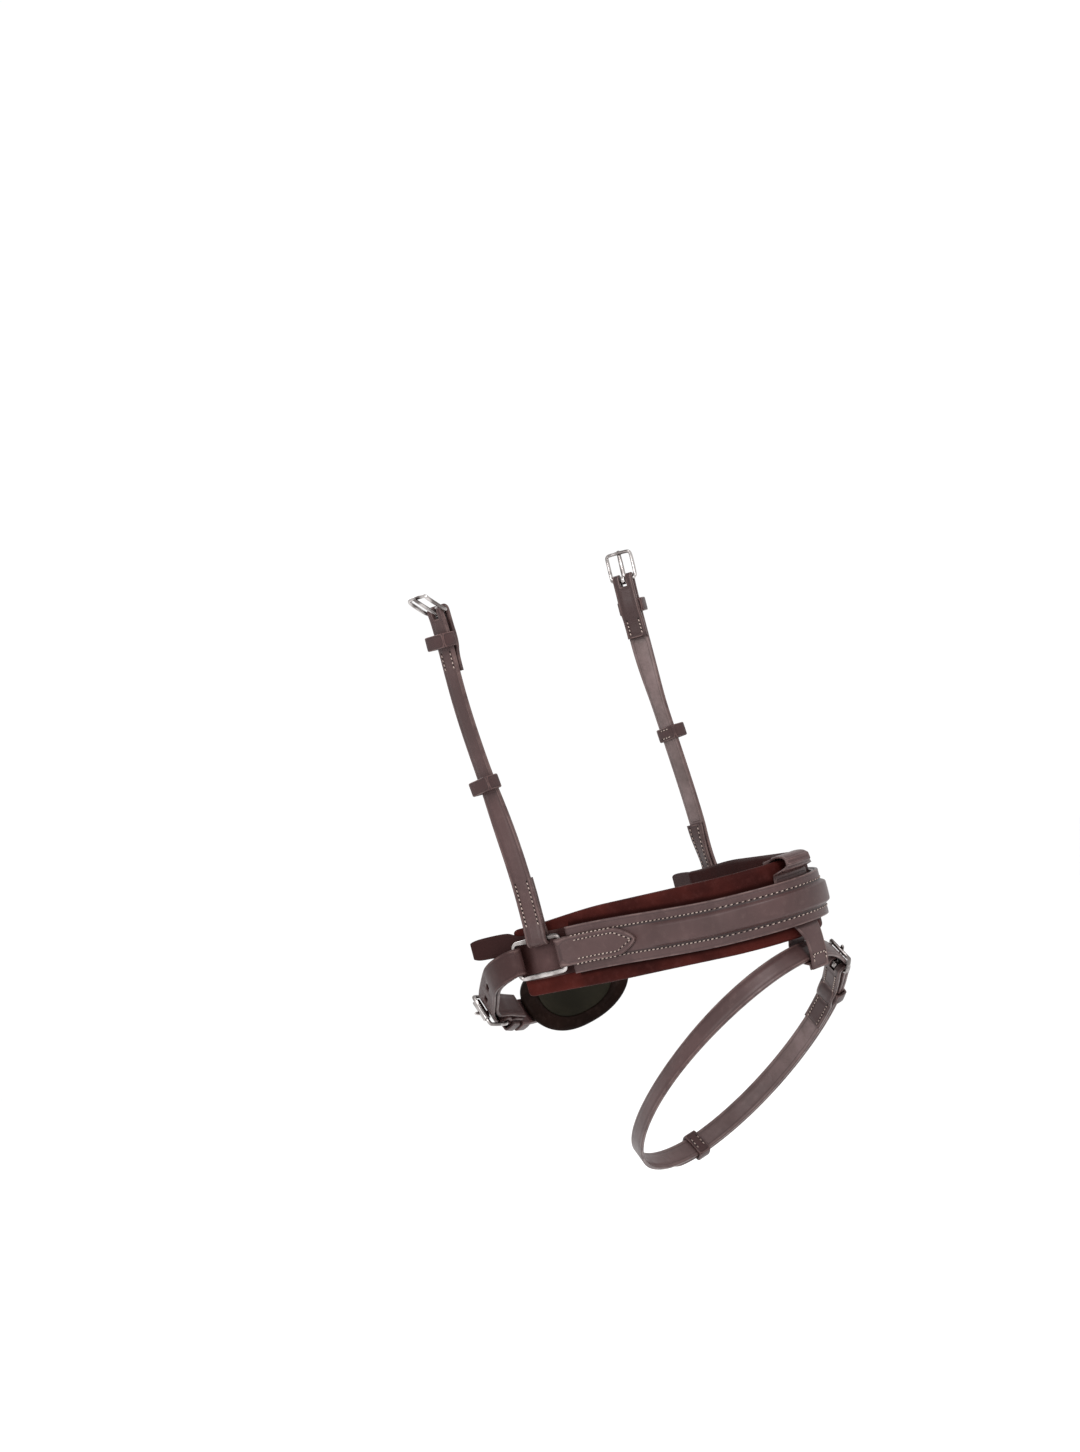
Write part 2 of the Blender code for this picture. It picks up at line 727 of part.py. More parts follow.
def below(half_line):
    """The half outline turned over to the lower side, in running order after the upper one."""
    return [(n, -w) for n, w in reversed(half_line)]


def build_nosepiece():
    pad_end = BAR_AT + PAD_TAIL
    stations = nose_stations(pad_end)

    def half_line(s, edge, inset, turn=None):
        return cushion_line(pad_reach(s, edge), pad_thick(s), inset, turn)

    def lining_section(s):
        outer = half_line(s, PAD_TOP, 0.0, LINING_TURN) + below(half_line(s, PAD_BOTTOM, 0.0, LINING_TURN))
        inner_low = half_line(s, PAD_BOTTOM, LINING_THICK, LINING_TURN)
        inner_top = half_line(s, PAD_TOP, LINING_THICK, LINING_TURN)
        return outer + [(n, -w) for n, w in inner_low] + list(reversed(inner_top))

    def foam_section(s):
        inset = LINING_THICK + GAP
        return half_line(s, PAD_TOP, inset) + below(half_line(s, PAD_BOTTOM, inset))

    nose_sweep("nose_lining", stations, lining_section, "red_lining")
    nose_sweep("nose_foam", nose_stations(pad_end - FOAM_SHORT), foam_section, "foam")

    half = CARRIER_WIDTH / 2
    bar = BAR_AT
    left_end = [(bar - CHAPE_FROM - step, CHAPE_HEIGHT, half) for step in (0.0, CHAPE_STEP)]
    left_end += tip(bar - CHAPE_LAP, CHAPE_HEIGHT, half, -1, CHAPE_POINT, CHAPE_POINT_HALF, 4)
    turn = widths(fold(bar, RING_LIFT, FOLD_NOSE, 1, -1), half)
    inner = [(s, carrier_height(s), carrier_half(s)) for s in nose_stations(bar - CARRIER_LEAD)]
    mirror_end = [(-s, n, w) for s, n, w in turn + left_end]
    carrier = list(reversed(mirror_end)) + inner + turn + left_end
    strap("nose_strap", NOSE, carrier, CARRIER_THICK, "brown_leather")

    nose_sweep("raise_filler", nose_stations(RAISE_END), filler_section, "dark_leather")
    nose_sweep("face_leather", nose_stations(bar - FACE_END), face_section, "brown_leather")
    for side, sign in SIDES.items():
        build_guard(side, sign)


def carrier_half(s):
    """The carrier is nearly as wide as the face leather and narrows to pass through the ring."""
    narrow = smooth((abs(s) - CARRIER_FROM) / (CARRIER_NARROW * 0.6))
    return mix(face_half(s) - CARRIER_INSET, CARRIER_WIDTH / 2, narrow)


def filler_fade(s):
    """The raised centre runs out just before the point of the turned end."""
    return 1.0 - smooth((abs(s) - (RAISE_END - RAISE_FADE)) / RAISE_FADE)


def filler_section(s):
    base = carrier_height(s) + CARRIER_THICK / 2 + GAP
    half = RAISE_WIDTH / 2
    height = mix(THIN, RAISE_HEIGHT, filler_fade(s))
    pts = [(base, -half), (base, half)]
    for share in (0.85, 0.5, 0.0, -0.5, -0.85):
        pts.append((base + height * (1.0 - share ** 4), share * half))
    return pts


def face_half(s):
    return mix(FACE_WIDTH_FRONT, FACE_WIDTH_REAR, smooth(abs(s) / (BAR_AT - 0.02))) / 2


def face_section(s):
    """Face leather: flat stitched margins and a raised centre over the filler."""
    half = face_half(s)
    shelf = carrier_height(s) + CARRIER_THICK / 2 + GAP
    over_filler = mix(THIN, RAISE_HEIGHT, filler_fade(s)) + GAP
    fall = smooth((RAISE_END + FACE_FALL - abs(s)) / FACE_FALL)
    raised = shelf + over_filler * min(1.0, filler_fade(s) * 4.0 + fall)
    crown = RAISE_WIDTH / 2
    foot = crown + FACE_FOOT
    middle = mix(shelf, raised, 0.55)
    side = [(raised, crown * 0.78), (middle, crown + FACE_SIDE), (shelf, foot), (shelf, half)]
    under = [(n, -w) for n, w in reversed(side)] + side
    over = [(n + FACE_THICK, w) for n, w in reversed(under)]
    top = shelf + FACE_THICK
    over[0] = (top - EDGE, half)
    over[-1] = (top - EDGE, -half)
    over.insert(1, (top, half - EDGE))
    over.insert(-1, (top, EDGE - half))
    return under + over


def build_guard(side, sign):
    start = BAR_AT - GUARD_TUCK
    end = BAR_AT + GUARD_TAIL
    widen = BAR_AT + PAD_TAIL
    rings = []
    stations = spread(start, widen - GUARD_FORE, 4) + spread(widen - GUARD_WIDEN_FROM, widen + GUARD_AFT, 7)
    for s in stations + [end - GUARD_ROUND_FROM, end]:
        height = pad_thick(s) + GAP + GUARD_THICK / 2
        spread_out = smooth((s - widen + GUARD_WIDEN_FROM) / GUARD_WIDEN)
        rounding = GUARD_ROUND if s == end else 0.0
        top = mix(GUARD_HALF, GUARD_TAIL_TOP, spread_out) - rounding
        rise = smooth((s - BAR_AT - RING_LENGTH) / GUARD_CUT)
        bottom = mix(GUARD_HALF, GUARD_TAIL_BOTTOM, rise) - rounding
        middle, half = (top - bottom) / 2, (top + bottom) / 2
        _, out, across = NOSE.axes(sign * s)
        base = NOSE.place(sign * s)
        section = leather_section(half, GUARD_THICK)
        rings.append([base + out * (height + n) + across * (middle + w) for n, w in section])
    loft("ring_guard_" + side, rings, "dark_leather")


def build_tab():
    """Strip that goes round the nosepiece at its middle; its two ends are sewn below the flash strap."""
    t = TAB_THICK
    outer = PAD_THICK + GAP + t / 2
    inner = -GAP - t / 2
    seam = (t + GAP) / 2
    top = PAD_TOP
    path = [(TAB_SEAM_AT + seam, TAB_END)] + [(TAB_SEAM_AT + seam + n, z) for n, z in TAB_SEAM_TOP]
    path += list(TAB_FRONT)
    path += [(outer, z) for z in spread(*TAB_FLAT, 4)]
    path += [(outer + n, z) for n, z in TAB_HUMP]
    path += [(outer + n, top + z) for n, z in TAB_OVER]
    path += [(inner, top + TAB_INSIDE[0])] + [(inner, z) for z in TAB_INSIDE[1:]]
    path += list(TAB_BACK)
    path += [TAB_BACK_SEAM[0], (TAB_SEAM_AT - seam, TAB_BACK_SEAM[1][1]), (TAB_SEAM_AT - seam, TAB_END)]
    centres = [Vector((0.0, -n, z)) for n, z in path]
    sections = []
    for _, z in path:
        width = mix(TAB_WIDTH_BOTTOM, TAB_WIDTH_TOP, smooth((z - TAB_NARROW_FROM) / TAB_NARROW))
        sections.append(leather_section(width / 2, t))
    acrosses = [Vector((1.0, 0.0, 0.0))] * len(centres)
    bend_to_nose(swept("flash_tab", centres, acrosses, sections, "brown_leather"))


def bend_to_nose(obj):
    """Wrap the flat-modelled strip round the bend of the nosepiece above its lower edge."""
    mesh = obj.data
    bm = bmesh.new()
    bm.from_mesh(mesh)
    edges = [e for e in bm.edges if abs(e.verts[0].co.x - e.verts[1].co.x) > TAB_WIDTH_BOTTOM / 2]
    bmesh.ops.subdivide_edges(bm, edges=edges, cuts=TAB_CUTS, use_grid_fill=True)
    for vert in bm.verts:
        x, y, z = vert.co
        bent = NOSE.point(x, -y, z) if x else vert.co.copy()
        share = smooth((z - TAB_BEND_FROM) / TAB_BEND)
        vert.co = Vector((x, y, z)).lerp(bent, share)
    bmesh.ops.triangulate(bm, faces=[f for f in bm.faces if len(f.verts) > 3])
    bm.to_mesh(mesh)
    bm.free()


def build_ring(side):
    front = ring_front(side)
    outline = rounded_rectangle(RING_LENGTH, RING_HEIGHT, RING_CORNER)
    up = Vector((0.0, 0.0, 1.0))
    ring = wire_loop("ring_" + side, front, ring_way(side), up, ring_out(side), outline, 0.0,
                     RING_LENGTH, RING_WIRE, "steel")
    set_origin(ring, front)


# Hangers

def hanger_turn(knots, s):
    """Twist at distance s, eased from one (distance, degrees) knot to the next."""
    turn = knots[0][1]
    for (low, _), (high, after) in zip(knots, knots[1:]):
        turn = mix(turn, after, smooth((s - low) / (high - low)))
    return turn


def hanger_course(side):
    sign = SIDES[side]
    layer = (HANGER_THICK + TWIST_GAP) / 2
    base = ring_front(side) + ring_way(side) * RING_LENGTH * HANGER_SEAT[side]
    base += Vector((0.0, 0.0, RING_HEIGHT / 2)) + ring_out(side) * layer

    def place(s):
        back = HANGER_BACK[side] * smooth((s - BACK_FROM) / (BACK_TO - BACK_FROM))
        inward = HANGER_IN[side] * smooth(s / IN_TO)
        return base + Vector((-sign * inward, back, s))

    def width_way(s):
        turn = math.radians(hanger_turn(HANGER_TURNS[side], s))
        x, y, _ = ring_way(side)
        return Vector((x * math.cos(turn) - y * math.sin(turn), x * math.sin(turn) + y * math.cos(turn), 0.0))

    return Course(place, width_way, -sign)


def build_hanger(side):
    course = hanger_course(side)
    half = HANGER_WIDTH / 2
    layer = HANGER_THICK + TWIST_GAP
    bar = -layer / 2
    length = HANGER_LENGTH[side]
    low_turn = RING_WIRE + PLAY + HANGER_THICK / 2
    top_turn = WIRE + PLAY + HANGER_THICK / 2
    loop_low = length - HANGER_LOOP_AT - KEEPER_LENGTH / 2
    loop_high = loop_low + KEEPER_LENGTH
    hump = -layer - KEEPER_THICK - GAP
    lap_low = length - HANGER_TOP_LAP
    stations = spread(HANGER_LEAD, HANGER_LAP, HANGER_LAP_STEPS) + spread(HANGER_LAP, lap_low, HANGER_STEPS)
    stations += [loop_low - HUMP_EASE, loop_low]
    run = within(stations, HANGER_LEAD, length - HANGER_TOP_LEAD)
    profile = widths([(s, -layer) for s in reversed(run) if s <= HANGER_LAP], half)
    profile += widths(fold(0.0, bar, low_turn, -1, -1), half)
    profile += widths([(s, 0.0) for s in run], half)
    profile += widths(fold(length, bar, top_turn, 1, 1), half)
    profile += widths([(loop_high + HUMP_AFTER, hump + HUMP_DROP), (loop_high, hump), (loop_low, hump)], half)
    profile += widths([(loop_low - HUMP_EASE, -layer), (lap_low, -layer)], half)
    obj = strap("hanger_" + side, course, profile, HANGER_THICK, "brown_leather")
    heel = course.point(length, bar)
    along, out, across = course.axes(length)
    slot_middle = heel + along * (top_turn + HANGER_THICK / 2 - SLOT_LENGTH / 2 + SLOT_OVER)
    sizes = (SLOT_LENGTH + 2 * SLOT_OVER, SLOT_DEEP, SLOT_WIDTH)
    cut(obj, box_cutter("cut_hanger_" + side, slot_middle, along, out, across, sizes))
    set_origin(obj, course.place(0.0) - ring_out(side) * layer / 2)

    keeper_half = half + KEEPER_PLAY
    at = length - HANGER_LOOP_AT
    k_along, k_out, k_across = course.axes(at)
    low = -HANGER_THICK / 2 - GAP
    high = HANGER_THICK / 2 + HANGER_ROOM
    band("hanger_keeper_" + side, course.place(at), k_along, k_out, k_across, low, high, keeper_half,
         KEEPER_LENGTH, "dark_leather")
    at = HANGER_RUNNER_AT
    k_along, k_out, k_across = course.axes(at)
    band("hanger_runner_" + side, course.place(at), k_along, k_out, k_across, low, high, keeper_half,
         KEEPER_LENGTH, "dark_leather")

    tilt = HANGER_FRAME_TILT[side]
    frame_along = along * math.cos(tilt) + out * math.sin(tilt)
    frame_out = out * math.cos(tilt) - along * math.sin(tilt)
    buckle("hanger_buckle_" + side, heel, frame_along, frame_out, across, HANGER_WIDTH + 2 * KEEPER_PLAY,
           FRAME_LENGTH)


# Chin strap

CHIN_HEADING = math.pi / 2 + NOSE_FLARE + RING_SPLAY
CHIN_LAST_TURN = CHIN_HEADING - CHIN_BEND_TURN - CHIN_CORNER_TURN


def chin_runs():
    """Runs from the right ring's rear bar to the middle of the back; the last radius closes the line."""
    runs = [(CHIN_LEAD, 0.0), (CHIN_BEND * CHIN_BEND_TURN, -CHIN_BEND_TURN), (CHIN_FLAT, 0.0),
            (CHIN_CORNER * CHIN_CORNER_TURN, -CHIN_CORNER_TURN)]
    start = ring_rear("right")
    length = sum(run[0] for run in runs)
    x, _, _ = walk(start, CHIN_HEADING, runs, length)
    radius = -x / math.sin(CHIN_LAST_TURN)
    return runs + [(radius * CHIN_LAST_TURN, -CHIN_LAST_TURN)]


CHIN_RUNS = chin_runs()
CHIN_HALF = sum(run[0] for run in CHIN_RUNS)


def chin_place(d):
    """d runs from minus the half length at the right ring, through 0 at the back, to the left ring."""
    s = CHIN_HALF - abs(d)
    x, y, _ = walk(ring_rear("right"), CHIN_HEADING, CHIN_RUNS, s)
    share = min(1.0, max(0.0, s / CHIN_HALF))
    z = -CHIN_DROOP * math.sin(share * math.pi / 2) ** DROOP_EASE
    return Vector((math.copysign(1.0, d) * abs(x) if d > 0 else x, y, z))


def chin_width_way(d):
    share = (CHIN_HALF - abs(d)) / CHIN_HALF
    tilt = CHIN_TILT * smooth(share / 0.45)
    return Vector((0.0, math.sin(tilt), math.cos(tilt)))


CHIN = Course(chin_place, chin_width_way, -1)


def chin_stations(low, high):
    """Every layer of the chin strap shares these."""
    count = int(2 * CHIN_HALF / CHIN_STEP)
    return within([CHIN_STEP * (k - count / 2) for k in range(count + 1)], low, high)


def build_chin():
    half = CHIN_WIDTH / 2
    layer = (CHIN_THICK + TWIST_GAP) / 2
    heel_at = CRANK_AT - CHIN_HALF
    turn_ring = RING_WIRE + PLAY + CHIN_THICK / 2
    turn_heel = WIRE + PLAY + CHIN_THICK / 2
    loop_mid = CRANK_LOOP_AT - CHIN_HALF
    loop_low, loop_high = loop_mid - KEEPER_LENGTH / 2, loop_mid + KEEPER_LENGTH / 2
    hump = -layer - KEEPER_THICK - GAP
    lap_end = loop_high + CHIN_HUMP_AFTER
    profile = widths([(lap_end, hump), (loop_low, hump), (loop_low - CHIN_HUMP_EASE, -layer)], half)
    profile += widths(fold(heel_at, 0.0, turn_heel, -1, -1), half)
    end = CHIN_HALF
    run = chin_stations(heel_at + CHIN_HEEL_LEAD, end - CHIN_RING_LEAD)
    near_ring = [(end - back, mix(layer, turn_ring, share)) for back, share in CHIN_RING_EASE]
    profile += widths([(s, layer) for s in run] + near_ring, half)
    profile += widths(fold(end, 0.0, turn_ring, 1, 1) + [(s, -n) for s, n in reversed(near_ring)], half)
    profile += widths([(s, -layer) for s in reversed(run) if s >= end - CHIN_LAP], half)
    obj = strap("chin_strap", CHIN, profile, CHIN_THICK, "brown_leather")
    along, out, across = CHIN.axes(heel_at)
    heel = CHIN.point(heel_at, 0.0)
    slot_middle = heel - along * (turn_heel + CHIN_THICK / 2 - SLOT_LENGTH / 2 + SLOT_OVER)
    sizes = (SLOT_LENGTH + 2 * SLOT_OVER, SLOT_DEEP, SLOT_WIDTH)
    cut(obj, box_cutter("cut_chin", slot_middle, along, out, across, sizes))
    pivot = ring_rear("left")
    set_origin(obj, pivot)
    build_billet(heel_at, turn_heel, layer, hump, lap_end)
    build_chin_pad()


def build_billet(heel_at, turn_heel, layer, hump, lap_end):
    """Sewn inside the chin strap, round the ring's rear bar, back under the roller and over the heel."""
    half = CHIN_WIDTH / 2 - BILLET_INSET
    t = BILLET_THICK
    ring_turn = RING_WIRE + PLAY + t / 2
    start = -CHIN_HALF
    under_heel = -(turn_heel + CHIN_THICK / 2 + GAP + t / 2)
    under_hump = hump - CHIN_THICK / 2 - GAP - t / 2
    over_heel = -under_heel
    over_strap = layer + CHIN_THICK / 2 + GAP + t / 2
    front_at = heel_at - CRANK_LENGTH
    loop_mid = CRANK_LOOP_AT - CHIN_HALF
    inner_run = -(t + GAP) / 2 - BILLET_SINK
    outer_run = (t + GAP) / 2
    profile = widths([(lap_end, under_hump), (loop_mid - KEEPER_LENGTH / 2, under_hump)], half)
    profile += widths([(heel_at + s, under_heel + n) for s, n in BILLET_UNDER_HEEL], half)
    run = chin_stations(start + BILLET_RING_LEAD, heel_at - BILLET_HEEL_LEAD)
    profile += widths([(s, inner_run) for s in reversed(run)], half)
    near_ring = [(start + on, ring_turn * share) for on, share in BILLET_RING_EASE]
    profile += widths([(s, -n) for s, n in near_ring], half)
    profile += widths(fold(start, 0.0, ring_turn, -1, -1), half)
    profile += widths(list(reversed(near_ring)), half)
    profile += widths([(s, outer_run) for s in run if s < front_at - BILLET_FRONT_LEAD], half)
    profile += widths([(front_at, BILLET_UNDER_ROLLER)], half)
    profile += widths([(front_at + BILLET_PAST_ROLLER, BILLET_UNDER_ROLLER + BILLET_SINK)], half)
    profile += widths([(heel_at + s, over_heel + n) for s, n in BILLET_OFF_HEEL], half)
    far = BILLET_TIP - CHIN_HALF
    outer = chin_stations(heel_at + BILLET_AFTER_HEEL, far - TIP_LENGTH - 0.001)
    profile += widths([(s, over_strap) for s in outer], half)
    profile += tip(far, over_strap, half, 1, TIP_LENGTH)
    obj = strap("crank_billet", CHIN, profile, t, "brown_leather")
    first = heel_at - CRANK_PUNCH_AT
    punch = t / 2 + GAP * 0.8
    places = [(first, over_heel - 0.0013, 0.0028)]
    places += [(front_at - BILLET_HOLES_BACK - HOLE_PITCH * k, outer_run, punch) for k in range(2)]
    places += [(heel_at + BILLET_HOLES_ON + HOLE_PITCH * k, over_strap, punch) for k in range(2)]
    cut(obj, hole_cutters("cut_billet", CHIN, places))
    set_origin(obj, ring_rear("left"))

    across = CHIN.axes(heel_at)[2]
    heel = CHIN.point(heel_at, 0.0)
    front = CHIN.point(front_at, BILLET_UNDER_ROLLER + t / 2 + GAP + WIRE + PLAY + ROLLER_WALL)
    buckle_between("crank_buckle", heel, front, across, CHIN_WIDTH + 2 * KEEPER_PLAY, CRANK_BOW, roller=True)

    keeper_half = CHIN_WIDTH / 2 + KEEPER_PLAY
    high = over_strap + t / 2 + KEEPER_PLAY
    k_along, k_out, k_across = CHIN.axes(loop_mid)
    band("crank_keeper", CHIN.place(loop_mid), k_along, k_out, k_across, layer - CHIN_THICK / 2 - GAP, high,
         keeper_half, KEEPER_LENGTH, "dark_leather")
    at = CRANK_RUNNER_AT - CHIN_HALF
    k_along, k_out, k_across = CHIN.axes(at)
    band("crank_runner", CHIN.place(at), k_along, k_out, k_across, layer - CHIN_THICK / 2 - KEEPER_PLAY, high,
         keeper_half, KEEPER_LENGTH, "dark_leather")


def chin_pad_half(d):
    share = min(1.0, abs(d - CHIN_PAD_SHIFT) / (CHIN_PAD_LENGTH / 2 + CHIN_PAD_BLUNT))
    return CHIN_PAD_HEIGHT / 2 * math.sqrt(max(0.0, 1.0 - share ** CHIN_PAD_POWER))


def build_chin_pad():
    """Oval pad inside the chin strap: a leather cup with a rim, a foam and an inner lining panel."""
    reach = CHIN_PAD_LENGTH / 2
    turns = spread(-math.pi / 2, math.pi / 2, CHIN_PAD_SECTIONS)
    stations = [CHIN_PAD_SHIFT + reach * math.sin(turn) for turn in turns]
    layer = (CHIN_THICK + TWIST_GAP) / 2
    outer = layer - CHIN_THICK / 2 - GAP
    skin = CHIN_PAD_SKIN
    deep = outer - CHIN_PAD_THICK

    def ring_of(d, line):
        _, out, across = CHIN.axes(d)
        base = CHIN.place(d)
        return [base + out * n + across * w for n, w in line]

    def shell_line(d, inset):
        """Half outline of the pad's outer form, pulled in by inset; its inner side is crowned."""
        half = chin_pad_half(d) - inset
        crown = min(1.0, chin_pad_half(d) / (CHIN_PAD_HEIGHT / 2))
        low = mix(outer - CHIN_PAD_END_THICK, deep, crown) + inset
        high = outer - inset
        depth = (high - low) / 2
        middle = (high + low) / 2
        pts = [(high, 0.0), (high, half - depth * 0.8)]
        for degrees in (50, 0, -50):
            angle = math.radians(degrees)
            pts.append((middle + depth * math.sin(angle), half - depth * 0.7 + depth * 0.7 * math.cos(angle)))
        return pts, low, half, depth

    def cup_line(d):
        pts, low, half, _ = shell_line(d, 0.0)
        inner, inner_low, inner_half, _ = shell_line(d, skin)
        rim = max(0.25 * half, half - CHIN_PAD_RIM)
        outer_half = pts + [(low, rim)]
        inner_part = inner + [(inner_low, rim)]
        upper = outer_half + list(reversed(inner_part))
        lower_inner = [(n, -w) for n, w in inner_part[1:]]
        lower_outer = [(n, -w) for n, w in reversed(outer_half[1:])]
        return upper + lower_inner + lower_outer

    def foam_line(d):
        pts, low, half, _ = shell_line(d, skin + GAP)
        line = pts[1:] + [(low, half * 0.6)]
        return line + [(n, -w) for n, w in reversed(line)]

    def panel_line(d):
        half = chin_pad_half(d)
        crown = min(1.0, half / (CHIN_PAD_HEIGHT / 2))
        low = mix(outer - CHIN_PAD_END_THICK, deep, crown)
        edge = max(0.25 * half, half - CHIN_PAD_RIM) - GAP
        high = low + skin - GAP * 0.5
        return [(high, -edge), (high, edge), (low - CHIN_PAD_PROUD, edge),
                (low - CHIN_PAD_PROUD - CHIN_PAD_CROWN, 0.0), (low - CHIN_PAD_PROUD, -edge)]

    inside = stations[1:-1]
    cup = loft("chin_pad_cover", [ring_of(d, cup_line(d)) for d in stations], "brown_leather")
    foam = loft("chin_pad_foam", [ring_of(d, foam_line(d)) for d in inside], "foam")
    panel = loft("chin_pad_lining", [ring_of(d, panel_line(d)) for d in inside], "dark_lining")
    for obj in (cup, foam, panel):
        set_origin(obj, ring_rear("left"))


# Flash strap

def flash_table():
    """Running length round the oval, by angle from the tab."""
    steps = 240
    lengths = [0.0]
    previous = flash_oval(0.0)
    for k in range(1, steps + 1):
        point = flash_oval(2 * math.pi * k / steps)
        lengths.append(lengths[-1] + (point - previous).length)
        previous = point
    return lengths


def flash_oval(angle):
    down = Vector((0.0, math.cos(FLASH_PITCH), -math.sin(FLASH_PITCH)))
    middle = Vector((0.0, FLASH_TAB_Y, FLASH_TAB_Z)) + down * FLASH_HALF_LENGTH
    half_width = FLASH_HALF_WIDTH["right" if math.sin(angle) > 0.0 else "left"]
    sideways = Vector((half_width * math.sin(angle), 0.0, 0.0))
    return middle - down * FLASH_HALF_LENGTH * math.cos(angle) - sideways


FLASH_LENGTHS = flash_table()
FLASH_ROUND = FLASH_LENGTHS[-1]


def flash_place(s):
    """s is 0 at the tab and rises towards the horse's right, round the back and up the left."""
    s = s % FLASH_ROUND
    steps = len(FLASH_LENGTHS) - 1
    low, high = 0, steps
    while high - low > 1:
        middle = (low + high) // 2
        if FLASH_LENGTHS[middle] <= s:
            low = middle
        else:
            high = middle
    share = (s - FLASH_LENGTHS[low]) / (FLASH_LENGTHS[high] - FLASH_LENGTHS[low])
    return flash_oval(2 * math.pi * (low + share) / steps)


def flash_width_way(s):
    """Square to the oval, but on the right side the upper edge leans in."""
    lean = FLASH_LEAN * max(0.0, math.sin(2 * math.pi * s / FLASH_ROUND)) ** 2
    upright = Vector((0.0, math.sin(FLASH_PITCH), math.cos(FLASH_PITCH)))
    return upright * math.cos(lean) + Vector((math.sin(lean), 0.0, 0.0))


FLASH = Course(flash_place, flash_width_way, -1)


def build_flash():
    half = FLASH_WIDTH / 2
    t = FLASH_THICK
    layer = t + GAP
    heel_at = FLASH_ROUND - FLASH_BUCKLE_AT
    bar = -layer / 2
    turn = WIRE + PLAY + t / 2
    loop_mid = FLASH_ROUND - FLASH_LOOP_AT
    loop_low, loop_high = loop_mid - KEEPER_LENGTH / 2, loop_mid + KEEPER_LENGTH / 2
    hump = -layer - KEEPER_THICK - GAP
    lap_end = heel_at - FLASH_LAP
    start = heel_at - FLASH_LEAD
    shared = [start - FLASH_STEP * k for k in range(int(start / FLASH_STEP) + 1)]
    runner_at = FLASH_ROUND - FLASH_RUNNER_AT
    shared += [loop_high, loop_low, loop_low - FLASH_HUMP_EASE, lap_end]
    shared += [runner_at - KEEPER_LENGTH / 2, runner_at, runner_at + KEEPER_LENGTH / 2]
    run = within(shared, FLASH_FROM_TAB, start)
    profile = widths([(s, -layer) for s in run if lap_end - GAP < s < loop_low - GAP], half)
    profile += widths([(loop_low, hump), (loop_high, hump)], half)
    profile += widths([(loop_high + FLASH_HUMP_EASE, -layer - FLASH_HUMP_SINK)], half)
    profile += widths(fold(heel_at, bar, turn, 1, -1), half)
    profile += widths([(s, 0.0) for s in reversed(run)], half)
    front_at = -FLASH_BUCKLE_AT + FRAME_LENGTH
    over_heel = bar + turn + t / 2 + GAP + t / 2
    over_strap = layer
    profile += widths([(-FLASH_OFF_TAB, 0.0), (mix(-FLASH_OFF_TAB, front_at, 0.5), 0.0)], half)
    profile += widths([(front_at + s, n) for s, n in FLASH_UNDER_FRONT], half)
    heel_out = -FLASH_BUCKLE_AT
    profile += widths([(heel_out + s, over_heel + n) for s, n in FLASH_OFF_HEEL], half)
    tail = [s - FLASH_ROUND for s in reversed(run)]
    profile += widths([(s, over_strap) for s in tail if s > -FLASH_TAIL + TIP_LENGTH + 0.001], half)
    profile += tip(-FLASH_TAIL, over_strap, half, -1, TIP_LENGTH)
    obj = strap("flash_strap", FLASH, profile, t, "brown_leather")
    along, out, across = FLASH.axes(heel_at)
    heel = FLASH.point(heel_at, bar)
    slot = slot_cutter("cut_flash", heel, along, out, across, turn + t / 2 + GAP / 2)
    cut(obj, slot)
    punch = t / 2 + GAP * 0.8
    places = [(heel_out + FLASH_PUNCH_AT, over_heel - 0.0015, 0.0030)]
    places += [(heel_out - FLASH_HOLES_BACK - HOLE_PITCH * k, over_strap, punch) for k in range(HOLE_COUNT)]
    cut(obj, hole_cutters("cut_flash_holes", FLASH, places))
    set_origin(obj, FLASH.point(0.0, 0.0, -half))

    front = FLASH.point(front_at, FLASH_UNDER_FRONT[0][1] + t / 2 + GAP + WIRE)
    buckle_between("flash_buckle", heel, front, across, FLASH_WIDTH + 2 * KEEPER_PLAY)

    keeper_half = half + KEEPER_PLAY
    high = over_strap + t / 2 + KEEPER_PLAY
    low = -t / 2 - KEEPER_PLAY
    for name, at in (("flash_keeper", loop_mid), ("flash_runner", runner_at)):
        k_along, k_out, k_across = FLASH.axes(at)
        band(name, FLASH.place(at), k_along, k_out, k_across, low, high, keeper_half, KEEPER_LENGTH,
             "dark_leather")


def main():
    clear_scene()
    build_nosepiece()
    build_tab()
    for side in SIDES:
        build_ring(side)
        build_hanger(side)
    build_chin()
    build_flash()


main()
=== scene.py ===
"""Looks of the crank noseband: refined leather and steel, padded cushions, stitching, floor, light, camera.

Metres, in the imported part's frame: +Z up the face, -Y to the front of the nose, +X to the horse's left.
"""
import json
import math
import random

import bmesh
import bpy
import numpy as np
from mathutils import Matrix, Vector
from mathutils.bvhtree import BVHTree
from mathutils.kdtree import KDTree

